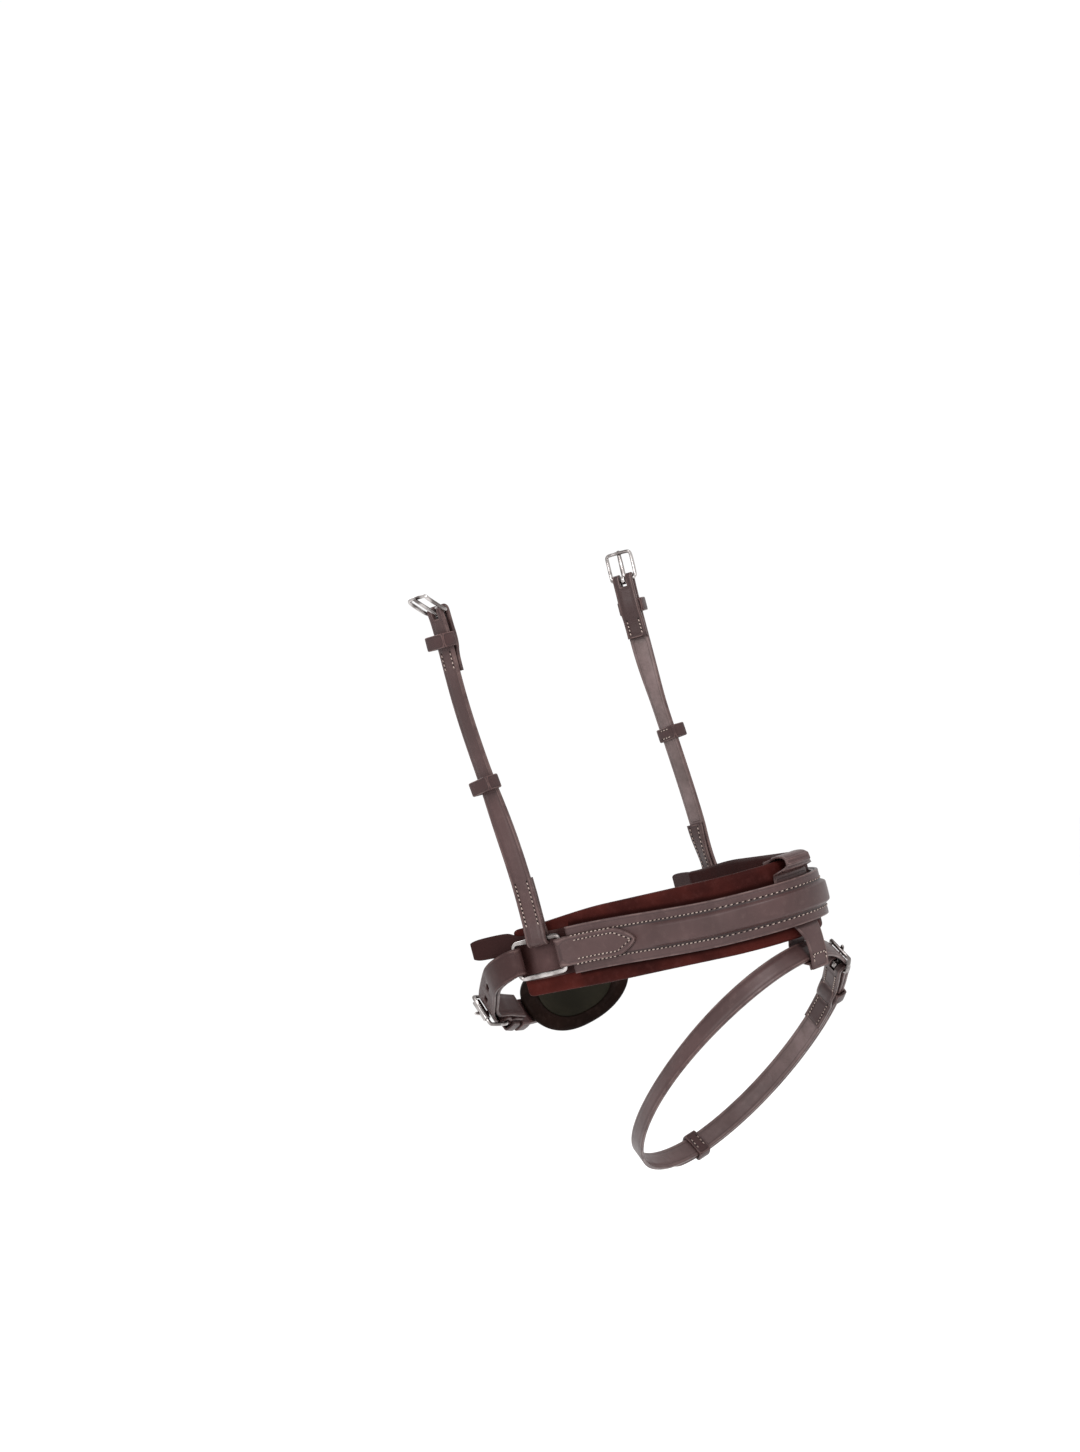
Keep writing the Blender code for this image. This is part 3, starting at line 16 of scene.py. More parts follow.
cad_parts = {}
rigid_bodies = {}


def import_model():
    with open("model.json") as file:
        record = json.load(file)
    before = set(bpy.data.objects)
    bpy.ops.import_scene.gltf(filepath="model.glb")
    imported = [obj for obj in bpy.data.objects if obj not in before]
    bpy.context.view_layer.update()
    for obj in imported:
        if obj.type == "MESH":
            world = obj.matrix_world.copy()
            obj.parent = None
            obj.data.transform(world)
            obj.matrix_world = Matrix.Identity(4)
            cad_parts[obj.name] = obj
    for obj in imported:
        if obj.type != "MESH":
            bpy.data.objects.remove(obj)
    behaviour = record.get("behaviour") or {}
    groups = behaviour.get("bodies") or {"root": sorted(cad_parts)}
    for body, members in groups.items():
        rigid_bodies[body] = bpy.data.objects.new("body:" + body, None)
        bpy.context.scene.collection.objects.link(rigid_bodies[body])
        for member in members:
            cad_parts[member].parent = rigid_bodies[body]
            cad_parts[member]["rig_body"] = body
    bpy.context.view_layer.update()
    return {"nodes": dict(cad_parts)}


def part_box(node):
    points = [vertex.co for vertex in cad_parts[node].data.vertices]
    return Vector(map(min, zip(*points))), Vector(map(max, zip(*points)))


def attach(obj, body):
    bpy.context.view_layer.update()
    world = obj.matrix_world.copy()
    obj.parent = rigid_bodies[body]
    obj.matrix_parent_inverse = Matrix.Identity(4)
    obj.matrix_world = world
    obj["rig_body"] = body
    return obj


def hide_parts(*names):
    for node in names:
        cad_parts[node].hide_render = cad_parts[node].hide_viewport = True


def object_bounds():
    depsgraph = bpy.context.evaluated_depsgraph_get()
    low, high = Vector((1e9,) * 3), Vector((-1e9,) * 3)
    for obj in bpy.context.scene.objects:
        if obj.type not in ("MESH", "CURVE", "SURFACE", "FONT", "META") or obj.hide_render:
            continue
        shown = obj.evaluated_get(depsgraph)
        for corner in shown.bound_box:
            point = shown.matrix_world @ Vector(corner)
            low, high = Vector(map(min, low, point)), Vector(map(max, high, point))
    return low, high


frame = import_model()

MM = 0.001

# Camera, matched to the photograph's frame in its own pixels
PHOTO_WIDTH = 1080
PHOTO_HEIGHT = 1452
PHOTO_FOCAL = 3000.0
NOSE_PIXEL = (802.0, 894.0)       # where CAMERA_AIM appears
CAMERA_AIM = Vector((0.0, -0.0095, 0.0))
CAMERA_AZIMUTH = math.radians(-45.6)
CAMERA_ELEVATION = math.radians(0.3)
CAMERA_ROLL = math.radians(-14.6)
CAMERA_DISTANCE = 1.640
SENSOR = 36.0
CLIP_START = 0.01

# Floor and light
FLOOR_DROP = 0.32                 # floor lies this far below the part
FLOOR_REACH = 6.0
FLOOR_SIDES = 96
FLOOR_ALBEDO = 0.97
FLOOR_ROUGHNESS = 0.9
WORLD_STRENGTH = 1.03
LIGHT_AIM = Vector((0.0, 0.09, -0.02))
LIGHTS = {                        # place, width and power
    "key": ((-0.9, -1.8, 2.0), 0.9, 42.0),
    "side": ((-2.3, -0.5, 0.9), 0.8, 17.0),
    "back": ((0.9, 1.9, 1.3), 1.2, 12.0),
}

# Fineness of the finished meshes
CREASE_ANGLE = math.radians(33.0)
QUAD_ANGLE = math.radians(14.0)
BAND_ANGLE = math.radians(18.0)
BAND_CREASE = 0.62                # keepers and runners have softer edges than straps
MERGE = 0.000004
NORMAL_WEIGHT = 60
FRAME_SWELL = 0.00011             # steel is swollen by what its rounding takes off
TONGUE_SWELL = 0.00010
RING_SWELL = 0.00015
RIM_SAMPLES = (0.0, 0.34, 0.67, 1.0)
FLESH_KNOTS = 420
INNER_SHARE = 0.4
FLESH_SHADE_RUN = 0.065                # painted shade: the rough side gets darker over this length
FLASH_FLESH_FROM = 0.020
FLASH_FLESH_SHADE = 0.35
FAR = 9.0                         # millimetres that read as away from every seam

# Nosepiece, as the solids have it
GAP = 0.0003
THIN = 0.0003
NOSE_RADIUS = 0.036
NOSE_FLARE = math.radians(19.8)
NOSE_ARM = 0.091
NOSE_TURN = math.pi / 2 - NOSE_FLARE
NOSE_BEND = NOSE_RADIUS * NOSE_TURN
BAR_AT = NOSE_BEND + NOSE_ARM
PAD_TOP = 0.0208
PAD_BOTTOM = 0.0228
PAD_END_TOP = 0.0172
PAD_END_BOTTOM = 0.0215
PAD_THICK = 0.0056
PAD_END_THICK = 0.0038
PAD_TAPER = 0.030
PAD_TAIL = 0.030
CARRIER_THICK = 0.0018
CHAPE_LAP = 0.045
CHAPE_HALF = 0.0081
FACE_WIDTH_REAR = 0.0265
FACE_WIDTH_FRONT = 0.0254
FACE_WIDTH_RUN = BAR_AT - 0.02
FACE_THICK = 0.0016
FACE_END = 0.0045
RAISE_WIDTH = 0.0130
RAISE_HEIGHT = 0.0021
RAISE_FADE = 0.012
RAISE_FALL = 0.0040
RAISE_END = BAR_AT - CHAPE_LAP - RAISE_FALL - GAP
TAB_THICK = 0.0013

# Finish of the nosepiece; a pair is where something begins and the run in which it is complete
ARM_POINT = NOSE_BEND + 0.02
DROOP = (0.040, 0.085)
FACE_DROOP = 0.0028               # the face leather and its strap hang this much lower at the front
FACE_STEP = 0.0016
FACE_EDGE = 0.00055
RAISE_HOLD = 4.0
RAISE_FOOT = RAISE_WIDTH / 2 + 0.0005
RAISE_CROWN = 0.00022
RAISE_SHARES = (0.0, 0.16, 0.32, 0.46, 0.58, 0.68, 0.76, 0.82, 0.87, 0.91, 0.95, 1.0)
RAISE_SLOPE = (0.70, 0.30)
UNDER_RISE = 0.9
UNDER_SHARE = 0.8
FOOT_STEP = 0.0004
MARGIN_STEPS = (0.0, 0.0005, 0.0012)
MARGIN_SHARE = 0.62
TAB_EASE = (0.014, 0.022)
TAB_HUMP = (0.0140, 0.0035)       # height over which the tab draws in to its rolled top
TAB_HUMP_SHARE = 0.62
TAB_OUTER = (-0.0002, 0.0010)
TAB_REAR = (0.0005, 0.0010)
TAB_ROOM = 0.0004                 # the tab's rear leaf stands back by this in its lower end
TAB_LOW = (0.0240, 0.0030)
PAD_STEP = 0.0018                 # between sections of the cushion
PAD_END_ROUND = 0.0030
PAD_END_DRAW = 0.0022
PAD_END_LEAST = 0.12
PAD_END_TURNS = (30, 55, 75, 88)
PAD_FLAT = 0.96                   # share of the cushion's section before its round edge
PAD_FLAT_POINTS = 10
PAD_ROUND = 0.95
PAD_ROUND_TURN = 78
PAD_ROUND_POINTS = 9
PAD_STRAP = (0.0135, 0.004)       # strap, tab and ends hold the cushion down up to here
PAD_TAB = (0.0145, 0.008)
PAD_END = (BAR_AT + PAD_TAIL - 0.012, 0.008)
PAD_LEAST_FREE = 0.02
PAD_PUFF = 0.0011
PAD_SEAM_OFF = 0.0004
PAD_SHADE_ALONG = (0.012, 0.030)  # painted shade darkens the far inner side
PAD_SHADE_ACROSS = (-0.004, 0.012)

# Rings and hangers
RING_LENGTH = 0.028
RING_HEIGHT = 0.020
RING_LIFT = 0.0097
RING_LEAN = NOSE_FLARE + math.radians(3.0)
GUARD_FRONT = (0.0025, 0.0050)    # painted shade darkens the guards by the rings' bars
GUARD_REAR = (RING_LENGTH - 0.0105, 0.0060)
HANGER_THICK = 0.0022
HANGER_LENGTH = {"right": 0.190, "left": 0.185}
HANGER_BACK = {"right": 0.0115, "left": 0.0078}
HANGER_IN = {"right": 0.0, "left": 0.0030}
HANGER_BACK_RUN = (0.020, 0.150)
HANGER_IN_RUN = 0.030
HANGER_SEAT = {"right": 0.445, "left": 0.640}
HANGER_LAP = 0.034
HANGER_TOP_LAP = 0.035
HANGER_TURNS = {"right": ((0.055, 0.0), (0.100, -25.0)),
                "left": ((0.012, 0.0), (0.036, 18.0), (0.104, 18.0), (0.148, 48.0))}

# Chin strap and its pad
TWIST_GAP = 0.0005
CHIN_THICK = 0.0022
CHIN_LEAD = 0.0045
CHIN_BEND = 0.021
CHIN_BEND_TURN = math.radians(58.0)
CHIN_FLAT = 0.030
CHIN_CORNER = 0.038
CHIN_CORNER_TURN = math.radians(26.0)
CHIN_DROOP = 0.0375
DROOP_EASE = 1.3
CHIN_TILT = math.radians(27.0)
CHIN_TILT_SHARE = 0.45
CHIN_LAP = 0.036
CHIN_PAD_LENGTH = 0.080
CHIN_PAD_SHIFT = 0.0205
CHIN_PAD_HEIGHT = 0.046
CHIN_PAD_THICK = 0.0070
CHIN_PAD_POWER = 2.4

# Swelling of the cushions by cloth pressure
PRESSURE = 4.0
CLOTH_QUALITY = 4
CLOTH_FRAMES = 20
TINY = 1e-9

# Flash strap
FLASH_THICK = 0.0020
FLASH_PITCH = math.radians(37.7)
FLASH_LEAN = math.radians(26.0)
FLASH_HALF_WIDTH = {"right": 0.070, "left": 0.064}
FLASH_HALF_LENGTH = 0.086
FLASH_TAB_Y = -0.0039
FLASH_TAB_Z = -0.03075
FLASH_BUCKLE_AT = 0.0545
FLASH_LAP = 0.058
FLASH_LOOP_AT = 0.0850
OVAL_KNOTS = 481

# Keepers and runners
KEEPER_LENGTH = 0.0080
HANGER_RUNNER_AT = 0.090
FLASH_RUNNER_AT = 0.2200

# Stitching
STITCH_PITCH = 0.0025
STITCH_LENGTH = 0.00140
STITCH_RADIUS = 0.00034
STITCH_RISE = 0.00024
SLOT_LENGTH = 0.00125             # dark beads of painted shade for the awl slots between the stitches
SLOT_RADIUS = 0.00036
SLOT_RISE = 0.00004
STITCH_SLANT = math.radians(9.0)
FACE_ROW = 0.0079                 # each row's distance from the nosepiece's middle line
CHAPE_INSET = 0.0029
HANGER_ROW = 0.0036
CHIN_ROW = 0.0058
FLASH_ROW = 0.0037
BAND_ROW = KEEPER_LENGTH / 2 - 0.0016
BAND_INSIDE = 0.0035
ROW_INSET = 0.0015                # rows stop this far from a lap's end
CHAPE_ROW_FROM = 0.0085
CHAPE_TIP = 0.0022
CHAPE_SHOULDER = 0.0095
FACE_ROW_INSET = 0.0025
TAB_SEAM_HALF = 0.0052
TAB_SEAM_LOW = 0.0014
TAB_SEAM_TOP = 0.0078
HANGER_ROW_FROM = 0.0075
HANGER_ROW_TO = 0.0235            # on the outer side, and the inner one
HANGER_ROW_BACK = 0.0245
CHIN_ROW_TO = 0.0095
FLASH_ROW_INSET = 0.0012
FLASH_ROW_LOOP = 0.0080
FLASH_ROW_HEEL = 0.0060
SEAT_ABOVE = 0.003                # a stitch looks for its surface from here, over this reach
SEAT_REACH = 0.007
SEAT_FACING = 0.3
TURN_PLAY = 0.04
LENGTH_PLAY = 0.05

SIDES = {"right": -1, "left": 1}


def smooth(x):
    """Ease from 0 to 1 as x goes from 0 to 1."""
    x = min(1.0, max(0.0, x))
    return x * x * (3.0 - 2.0 * x)


def ease(x, start, run):
    """0 up to the start, and 1 from the run's end on."""
    return smooth((x - start) / run)


def mix(a, b, x):
    return a + (b - a) * x


def spread(a, b, count):
    return [mix(a, b, k / (count - 1)) for k in range(count)]


# Lines that the straps follow

class Course:
    """A line in space with the direction that a strap's width takes at each distance along it."""

    STEP = 0.0004

    def __init__(self, place, width_way, outward):
        self.place = place
        self.width_way = width_way
        self.outward = outward

    def axes(self, s):
        along = (self.place(s + self.STEP) - self.place(s - self.STEP)).normalized()
        across = self.width_way(s)
        across = (across - along * across.dot(along)).normalized()
        return along, along.cross(across) * self.outward, across

    def point(self, s, n=0.0, w=0.0):
        _, out, across = self.axes(s)
        return self.place(s) + out * n + across * w


def walk(start, heading, runs, distance):
    """Point after a distance along runs of (length, left turn); the last run goes on straight."""
    x, y, angle = start[0], start[1], heading
    left = distance
    for number, (length, turn) in enumerate(runs):
        part = left if number == len(runs) - 1 and turn == 0.0 else min(left, length)
        if turn == 0.0 or part < 0.0:
            x += part * math.cos(angle)
            y += part * math.sin(angle)
        else:
            radius = length / turn
            after = angle + part / radius
            x += radius * (math.sin(after) - math.sin(angle))
            y -= radius * (math.cos(after) - math.cos(angle))
            angle = after
        left -= part
        if left <= 0.0:
            break
    return x, y


def nose_place(s):
    x, y = walk((0.0, 0.0), 0.0, [(NOSE_BEND, NOSE_TURN), (NOSE_ARM, 0.0)], abs(s))
    return Vector((math.copysign(x, s), y, 0.0))


NOSE = Course(nose_place, lambda _: Vector((0.0, 0.0, 1.0)), 1)


def ring_front(side):
    return NOSE.point(SIDES[side] * BAR_AT, RING_LIFT)


def ring_way(side):
    return Vector((SIDES[side] * math.sin(RING_LEAN), math.cos(RING_LEAN), 0.0))


def ring_out(side):
    return Vector((SIDES[side] * math.cos(RING_LEAN), -math.sin(RING_LEAN), 0.0))


def ring_rear(side):
    return ring_front(side) + ring_way(side) * RING_LENGTH


def hanger_turn(knots, s):
    turn = knots[0][1]
    for (low, _), (high, after) in zip(knots, knots[1:]):
        turn = mix(turn, after, ease(s, low, high - low))
    return math.radians(turn)


def hanger_course(side):
    sign = SIDES[side]
    base = ring_front(side) + ring_way(side) * RING_LENGTH * HANGER_SEAT[side]
    base += Vector((0.0, 0.0, RING_HEIGHT / 2)) + ring_out(side) * (HANGER_THICK + TWIST_GAP) / 2
    low, high = HANGER_BACK_RUN

    def place(s):
        back = HANGER_BACK[side] * ease(s, low, high - low)
        inward = HANGER_IN[side] * smooth(s / HANGER_IN_RUN)
        return base + Vector((-sign * inward, back, s))

    def width_way(s):
        turn = hanger_turn(HANGER_TURNS[side], s)
        x, y, _ = ring_way(side)
        return Vector((x * math.cos(turn) - y * math.sin(turn), x * math.sin(turn) + y * math.cos(turn), 0.0))

    return Course(place, width_way, -sign)


CHIN_HEADING = math.pi / 2 + RING_LEAN


def chin_runs():
    """Runs from the right ring's rear bar to the middle of the back; the last radius closes the line."""
    runs = [(CHIN_LEAD, 0.0), (CHIN_BEND * CHIN_BEND_TURN, -CHIN_BEND_TURN), (CHIN_FLAT, 0.0),
            (CHIN_CORNER * CHIN_CORNER_TURN, -CHIN_CORNER_TURN)]
    x, _ = walk(ring_rear("right"), CHIN_HEADING, runs, sum(run[0] for run in runs))
    last_turn = CHIN_HEADING - CHIN_BEND_TURN - CHIN_CORNER_TURN
    radius = -x / math.sin(last_turn)
    return runs + [(radius * last_turn, -last_turn)]


CHIN_RUNS = chin_runs()
CHIN_HALF = sum(run[0] for run in CHIN_RUNS)


def chin_place(d):
    s = CHIN_HALF - abs(d)
    x, y = walk(ring_rear("right"), CHIN_HEADING, CHIN_RUNS, s)
    share = min(1.0, max(0.0, s / CHIN_HALF))
    z = -CHIN_DROOP * math.sin(share * math.pi / 2) ** DROOP_EASE
    return Vector((abs(x) if d > 0 else x, y, z))


def chin_width_way(d):
    tilt = CHIN_TILT * smooth((CHIN_HALF - abs(d)) / CHIN_HALF / CHIN_TILT_SHARE)
    return Vector((0.0, math.sin(tilt), math.cos(tilt)))


CHIN = Course(chin_place, chin_width_way, -1)


def flash_oval(angle):
    down = Vector((0.0, math.cos(FLASH_PITCH), -math.sin(FLASH_PITCH)))
    middle = Vector((0.0, FLASH_TAB_Y, FLASH_TAB_Z)) + down * FLASH_HALF_LENGTH
    half_width = FLASH_HALF_WIDTH["right" if math.sin(angle) > 0.0 else "left"]
    sideways = Vector((half_width * math.sin(angle), 0.0, 0.0))
    return middle - down * FLASH_HALF_LENGTH * math.cos(angle) - sideways


OVAL_ANGLES = np.linspace(0.0, 2 * math.pi, OVAL_KNOTS)
OVAL_STEPS = [(flash_oval(b) - flash_oval(a)).length for a, b in zip(OVAL_ANGLES, OVAL_ANGLES[1:])]
OVAL_LENGTHS = np.concatenate([[0.0], np.cumsum(OVAL_STEPS)])
FLASH_ROUND = float(OVAL_LENGTHS[-1])


def flash_place(s):
    return flash_oval(float(np.interp(s % FLASH_ROUND, OVAL_LENGTHS, OVAL_ANGLES)))


def flash_width_way(s):
    lean = FLASH_LEAN * max(0.0, math.sin(2 * math.pi * s / FLASH_ROUND)) ** 2
    upright = Vector((0.0, math.sin(FLASH_PITCH), math.cos(FLASH_PITCH)))
    return upright * math.cos(lean) + Vector((math.sin(lean), 0.0, 0.0))


FLASH = Course(flash_place, flash_width_way, -1)


# Materials

def opaque(colour):
    """A colour with full opacity; a socket stays as it is."""
    return colour if isinstance(colour, bpy.types.NodeSocket) else (*colour, 1.0)


class Finish:
    """A procedural material under construction."""

    def __init__(self, name, metallic=0.0, specular=0.25):
        self.material = bpy.data.materials.new(name)
        self.material.use_nodes = True
        self.tree = self.material.node_tree
        self.shader = self.tree.nodes["Principled BSDF"]
        self.shader.inputs["Metallic"].default_value = metallic
        self.shader.inputs["Specular IOR Level"].default_value = specular
        self.place = self.node("ShaderNodeTexCoord").outputs["Object"]

    def node(self, kind, inputs=None, **settings):
        made = self.tree.nodes.new(kind)
        for key, value in settings.items():
            setattr(made, key, value)
        for key, value in (inputs or {}).items():
            if isinstance(value, bpy.types.NodeSocket):
                self.tree.links.new(value, made.inputs[key])
            else:
                made.inputs[key].default_value = value
        return made

    def stretched(self, scale):
        return self.node("ShaderNodeVectorMath", {0: self.place, 1: scale}, operation="MULTIPLY").outputs[0]

    def noise(self, scale, detail=3.0, roughness=0.55, place=None):
        inputs = {"Vector": place or self.place, "Scale": scale, "Detail": detail, "Roughness": roughness}
        return self.node("ShaderNodeTexNoise", inputs).outputs["Fac"]

    def cells(self, scale):
        inputs = {"Vector": self.place, "Scale": scale}
        return self.node("ShaderNodeTexVoronoi", inputs, feature="DISTANCE_TO_EDGE").outputs["Distance"]

    def wave(self, scale, distortion, direction):
        inputs = {"Vector": self.place, "Scale": scale, "Distortion": distortion}
        return self.node("ShaderNodeTexWave", inputs, bands_direction=direction).outputs["Fac"]

    def attribute(self, name):
        return self.node("ShaderNodeAttribute", attribute_name=name).outputs["Fac"]

    def math(self, operation, a, b=0.0):
        return self.node("ShaderNodeMath", {0: a, 1: b}, operation=operation).outputs[0]

    def span(self, value, low, high, to_low=0.0, to_high=1.0):
        inputs = {"Value": value, "From Min": low, "From Max": high, "To Min": to_low, "To Max": to_high}
        return self.node("ShaderNodeMapRange", inputs, interpolation_type="SMOOTHSTEP").outputs[0]

    def blend(self, share, a, b):
        return self.node("ShaderNodeMix", {0: share, 6: opaque(a), 7: opaque(b)}, data_type="RGBA").outputs[2]

    def tint(self, tone, share, strength, colour):
        """The tone drawn towards a colour where share is high."""
        return self.blend(self.math("MULTIPLY", share, strength), tone, colour)

    def plus(self, value, more, factor):
        """The value with more of another, times a factor."""
        return self.math("ADD", value, self.math("MULTIPLY", more, factor))

    def gloss(self, scale, detail, middle, play):
        """Roughness that varies round its middle."""
        return self.plus(middle - play / 2, self.noise(scale, detail), play)

    def near(self, value, middle, reach):
        """1 where value is at the middle, falling to 0 at reach from it."""
        off = self.math("ABSOLUTE", self.math("SUBTRACT", value, middle))
        return self.span(off, 0.0, reach, 1.0, 0.0)

    def finish(self, colour, roughness, height, bump, depth):
        self.tree.links.new(colour, self.shader.inputs["Base Color"])
        self.tree.links.new(roughness, self.shader.inputs["Roughness"])
        made = self.node("ShaderNodeBump", {"Height": height, "Strength": bump, "Distance": depth})
        self.tree.links.new(made.outputs[0], self.shader.inputs["Normal"])
        return self.material


def shadow(colour):
    """Painted shade: the colour darkened as in the shadow of a crease."""
    return [0.4 * part for part in colour]


# Leather: distances from its cut edges in millimetres, shares of a tint, and heights of its relief
ARRIS_AT = 0.42
EDGE_WEAR = 0.60
EDGE_PAINT = 0.60
LINE_HALF = 0.30
LINE_TINT = 0.65
LINE_DEPTH = 2.4
SEAM_HALF = 0.70
SEAM_DEPTH = 2.2
CROWN_REACH = 3.6
GRAIN = 1150.0
PORES = 2.6
LEATHER_ROUGHNESS = 0.42
ROUGHNESS_PLAY = 0.18


def leather(name, body, deep, pale, pressed=1.55, seam=False, shaded=False, crown=0.0, specular=0.30):
    """Bridle leather: fine grain, clouded dye, dark burnished edges, a pressed line and worn arrises."""
    made = Finish(name, specular=specular)
    rim = made.attribute("rim")
    mottle = made.span(made.noise(34.0), 0.34, 0.68)
    tone = made.tint(body, mottle, 0.45, deep)
    cloud = made.span(made.noise(240.0, 5.0, 0.65), 0.48, 0.80)
    tone = made.tint(tone, cloud, 0.14, pale)
    if crown:
        fibres = made.span(made.noise(75.0, 5.0, 0.65), 0.30, 0.72)
        bare = made.blend(fibres, FLESH_DEEP, FLESH)
        tone = made.blend(made.attribute("flesh"), tone, bare)
        # painted shade: the laps' inner side darkened
        tone = made.tint(tone, made.attribute("lap"), 0.62, deep)
    rubbed = made.span(made.noise(120.0, 4.0), 0.34, 0.60)
    arris = made.math("MULTIPLY", made.near(rim, ARRIS_AT, ARRIS_AT), rubbed)
    tone = made.tint(tone, arris, EDGE_WEAR, pale)
    painted = made.span(rim, 0.02, 0.20, 1.0, 0.0)
    tone = made.tint(tone, painted, EDGE_PAINT, deep)
    line = made.near(rim, pressed, LINE_HALF)
    tone = made.tint(tone, line, LINE_TINT, deep)
    pebble = made.span(made.cells(GRAIN), 0.0, 0.32)
    height = made.plus(made.math("MULTIPLY", pebble, 0.45), made.noise(GRAIN * PORES, 2.0), 0.20)
    height = made.plus(height, made.noise(420.0, 3.0, 0.6), 0.35)
    height = made.plus(height, line, -LINE_DEPTH)
    if crown:
        height = made.math("ADD", height, made.span(rim, 0.0, CROWN_REACH, 0.0, crown))
    if seam:
        # the stitch row's groove: a real dip in height, darkened with painted shade
        row = made.near(made.attribute("seam"), 0.0, SEAM_HALF)
        height = made.plus(height, row, -SEAM_DEPTH)
        tone = made.tint(tone, row, 0.55, deep)
        # painted shade: a dark line in the crease at the raised centre's foot
        foot = made.near(made.attribute("foot"), 0.0, SEAM_HALF)
        tone = made.tint(tone, foot, 0.85, shadow(deep))
    # painted shade: the guard darkened by the rings' bars and along its tail
    if shaded:
        tone = made.tint(tone, made.attribute("shade"), 0.92, GUARD_PAINTED_SHADE)
    gloss = made.plus(made.gloss(95.0, 4.0, LEATHER_ROUGHNESS, ROUGHNESS_PLAY), arris, -0.08)
    return made.finish(tone, gloss, height, 0.42, 0.00010)


def soft_leather(name, body, deep, pale, roughness, reach):
    """Thin supple lining leather: smooth, with fine creases and cloudy dye, grooved up to reach from a seam,
    with painted shade in that groove and on its shaded side.
    """
    made = Finish(name, specular=0.02)
    cloud = made.span(made.noise(26.0, 3.0), 0.34, 0.68)
    fine = made.span(made.noise(260.0, 5.0, 0.6), 0.45, 0.80)
    tone = made.blend(cloud, deep, body)
    tone = made.tint(tone, fine, 0.22, pale)
    wrinkles = made.noise(1.0, 4.0, 0.6, made.stretched((330.0, 330.0, 90.0)))
    pebble = made.span(made.cells(1500.0), 0.0, 0.35)
    height = made.plus(made.math("MULTIPLY", wrinkles, 1.5), pebble, 0.35)
    # a real groove along the seam, darkened with painted shade, as is the side marked shaded
    seam = made.near(made.attribute("seam"), 0.0, reach)
    height = made.plus(height, seam, -LINE_DEPTH)
    painted_shade = made.math("MAXIMUM", seam, made.attribute("shade"))
    tone = made.tint(tone, painted_shade, 0.80, shadow(deep))
    gloss = made.gloss(70.0, 3.0, roughness, ROUGHNESS_PLAY)
    return made.finish(tone, gloss, height, 0.5, 0.00012)


def satin(name, body, deep, pale):
    """Close woven satin of the chin pad's panel."""
    made = Finish(name, specular=0.05)
    cloud = made.span(made.noise(46.0, 3.0), 0.35, 0.68)
    tone = made.blend(cloud, deep, body)
    weave = made.math("MULTIPLY", made.wave(900.0, 0.4, "X"), made.wave(900.0, 0.4, "Z"))
    tone = made.tint(tone, weave, 0.45, pale)
    folds = made.noise(1.0, place=made.stretched((140.0, 140.0, 60.0)))
    height = made.plus(weave, folds, 3.0)
    return made.finish(tone, made.gloss(60.0, 3.0, 0.44, 0.16), height, 0.35, 0.00015)


def thread(name, body, deep):
    """Waxed thread with the lay of its strands."""
    made = Finish(name)
    lay = made.wave(1500.0, 1.0, "DIAGONAL")
    dirt = made.span(made.noise(75.0, 4.0), 0.40, 0.72)
    tone = made.tint(body, dirt, 0.75, deep)
    return made.finish(tone, made.plus(0.58, lay, 0.12), lay, 0.5, 0.00008)


def steel(name, body, dull):
    """Buckle steel with fine rubbing marks and dark tarnish in broad patches."""
    made = Finish(name, metallic=1.0)
    tarnish = made.span(made.noise(95.0, 2.0, 0.5), 0.41, 0.60)
    tone = made.tint(body, tarnish, 0.88, dull)
    marks = made.noise(1.0, 4.0, 0.7, made.stretched((2600.0, 420.0, 900.0)))
    rough = made.plus(made.plus(0.12, marks, 0.14), tarnish, 0.14)
    return made.finish(tone, rough, marks, 0.12, 0.00004)


def painted_slot_shade(name, body, deep):
    """Painted shade of an awl slot: a dark, rough bead where the hole's shadow falls."""
    made = Finish(name)
    cells = made.span(made.cells(900.0), 0.0, 0.4)
    tone = made.blend(cells, deep, body)
    return made.finish(tone, made.plus(0.88, cells, 0.05), cells, 0.6, 0.0002)


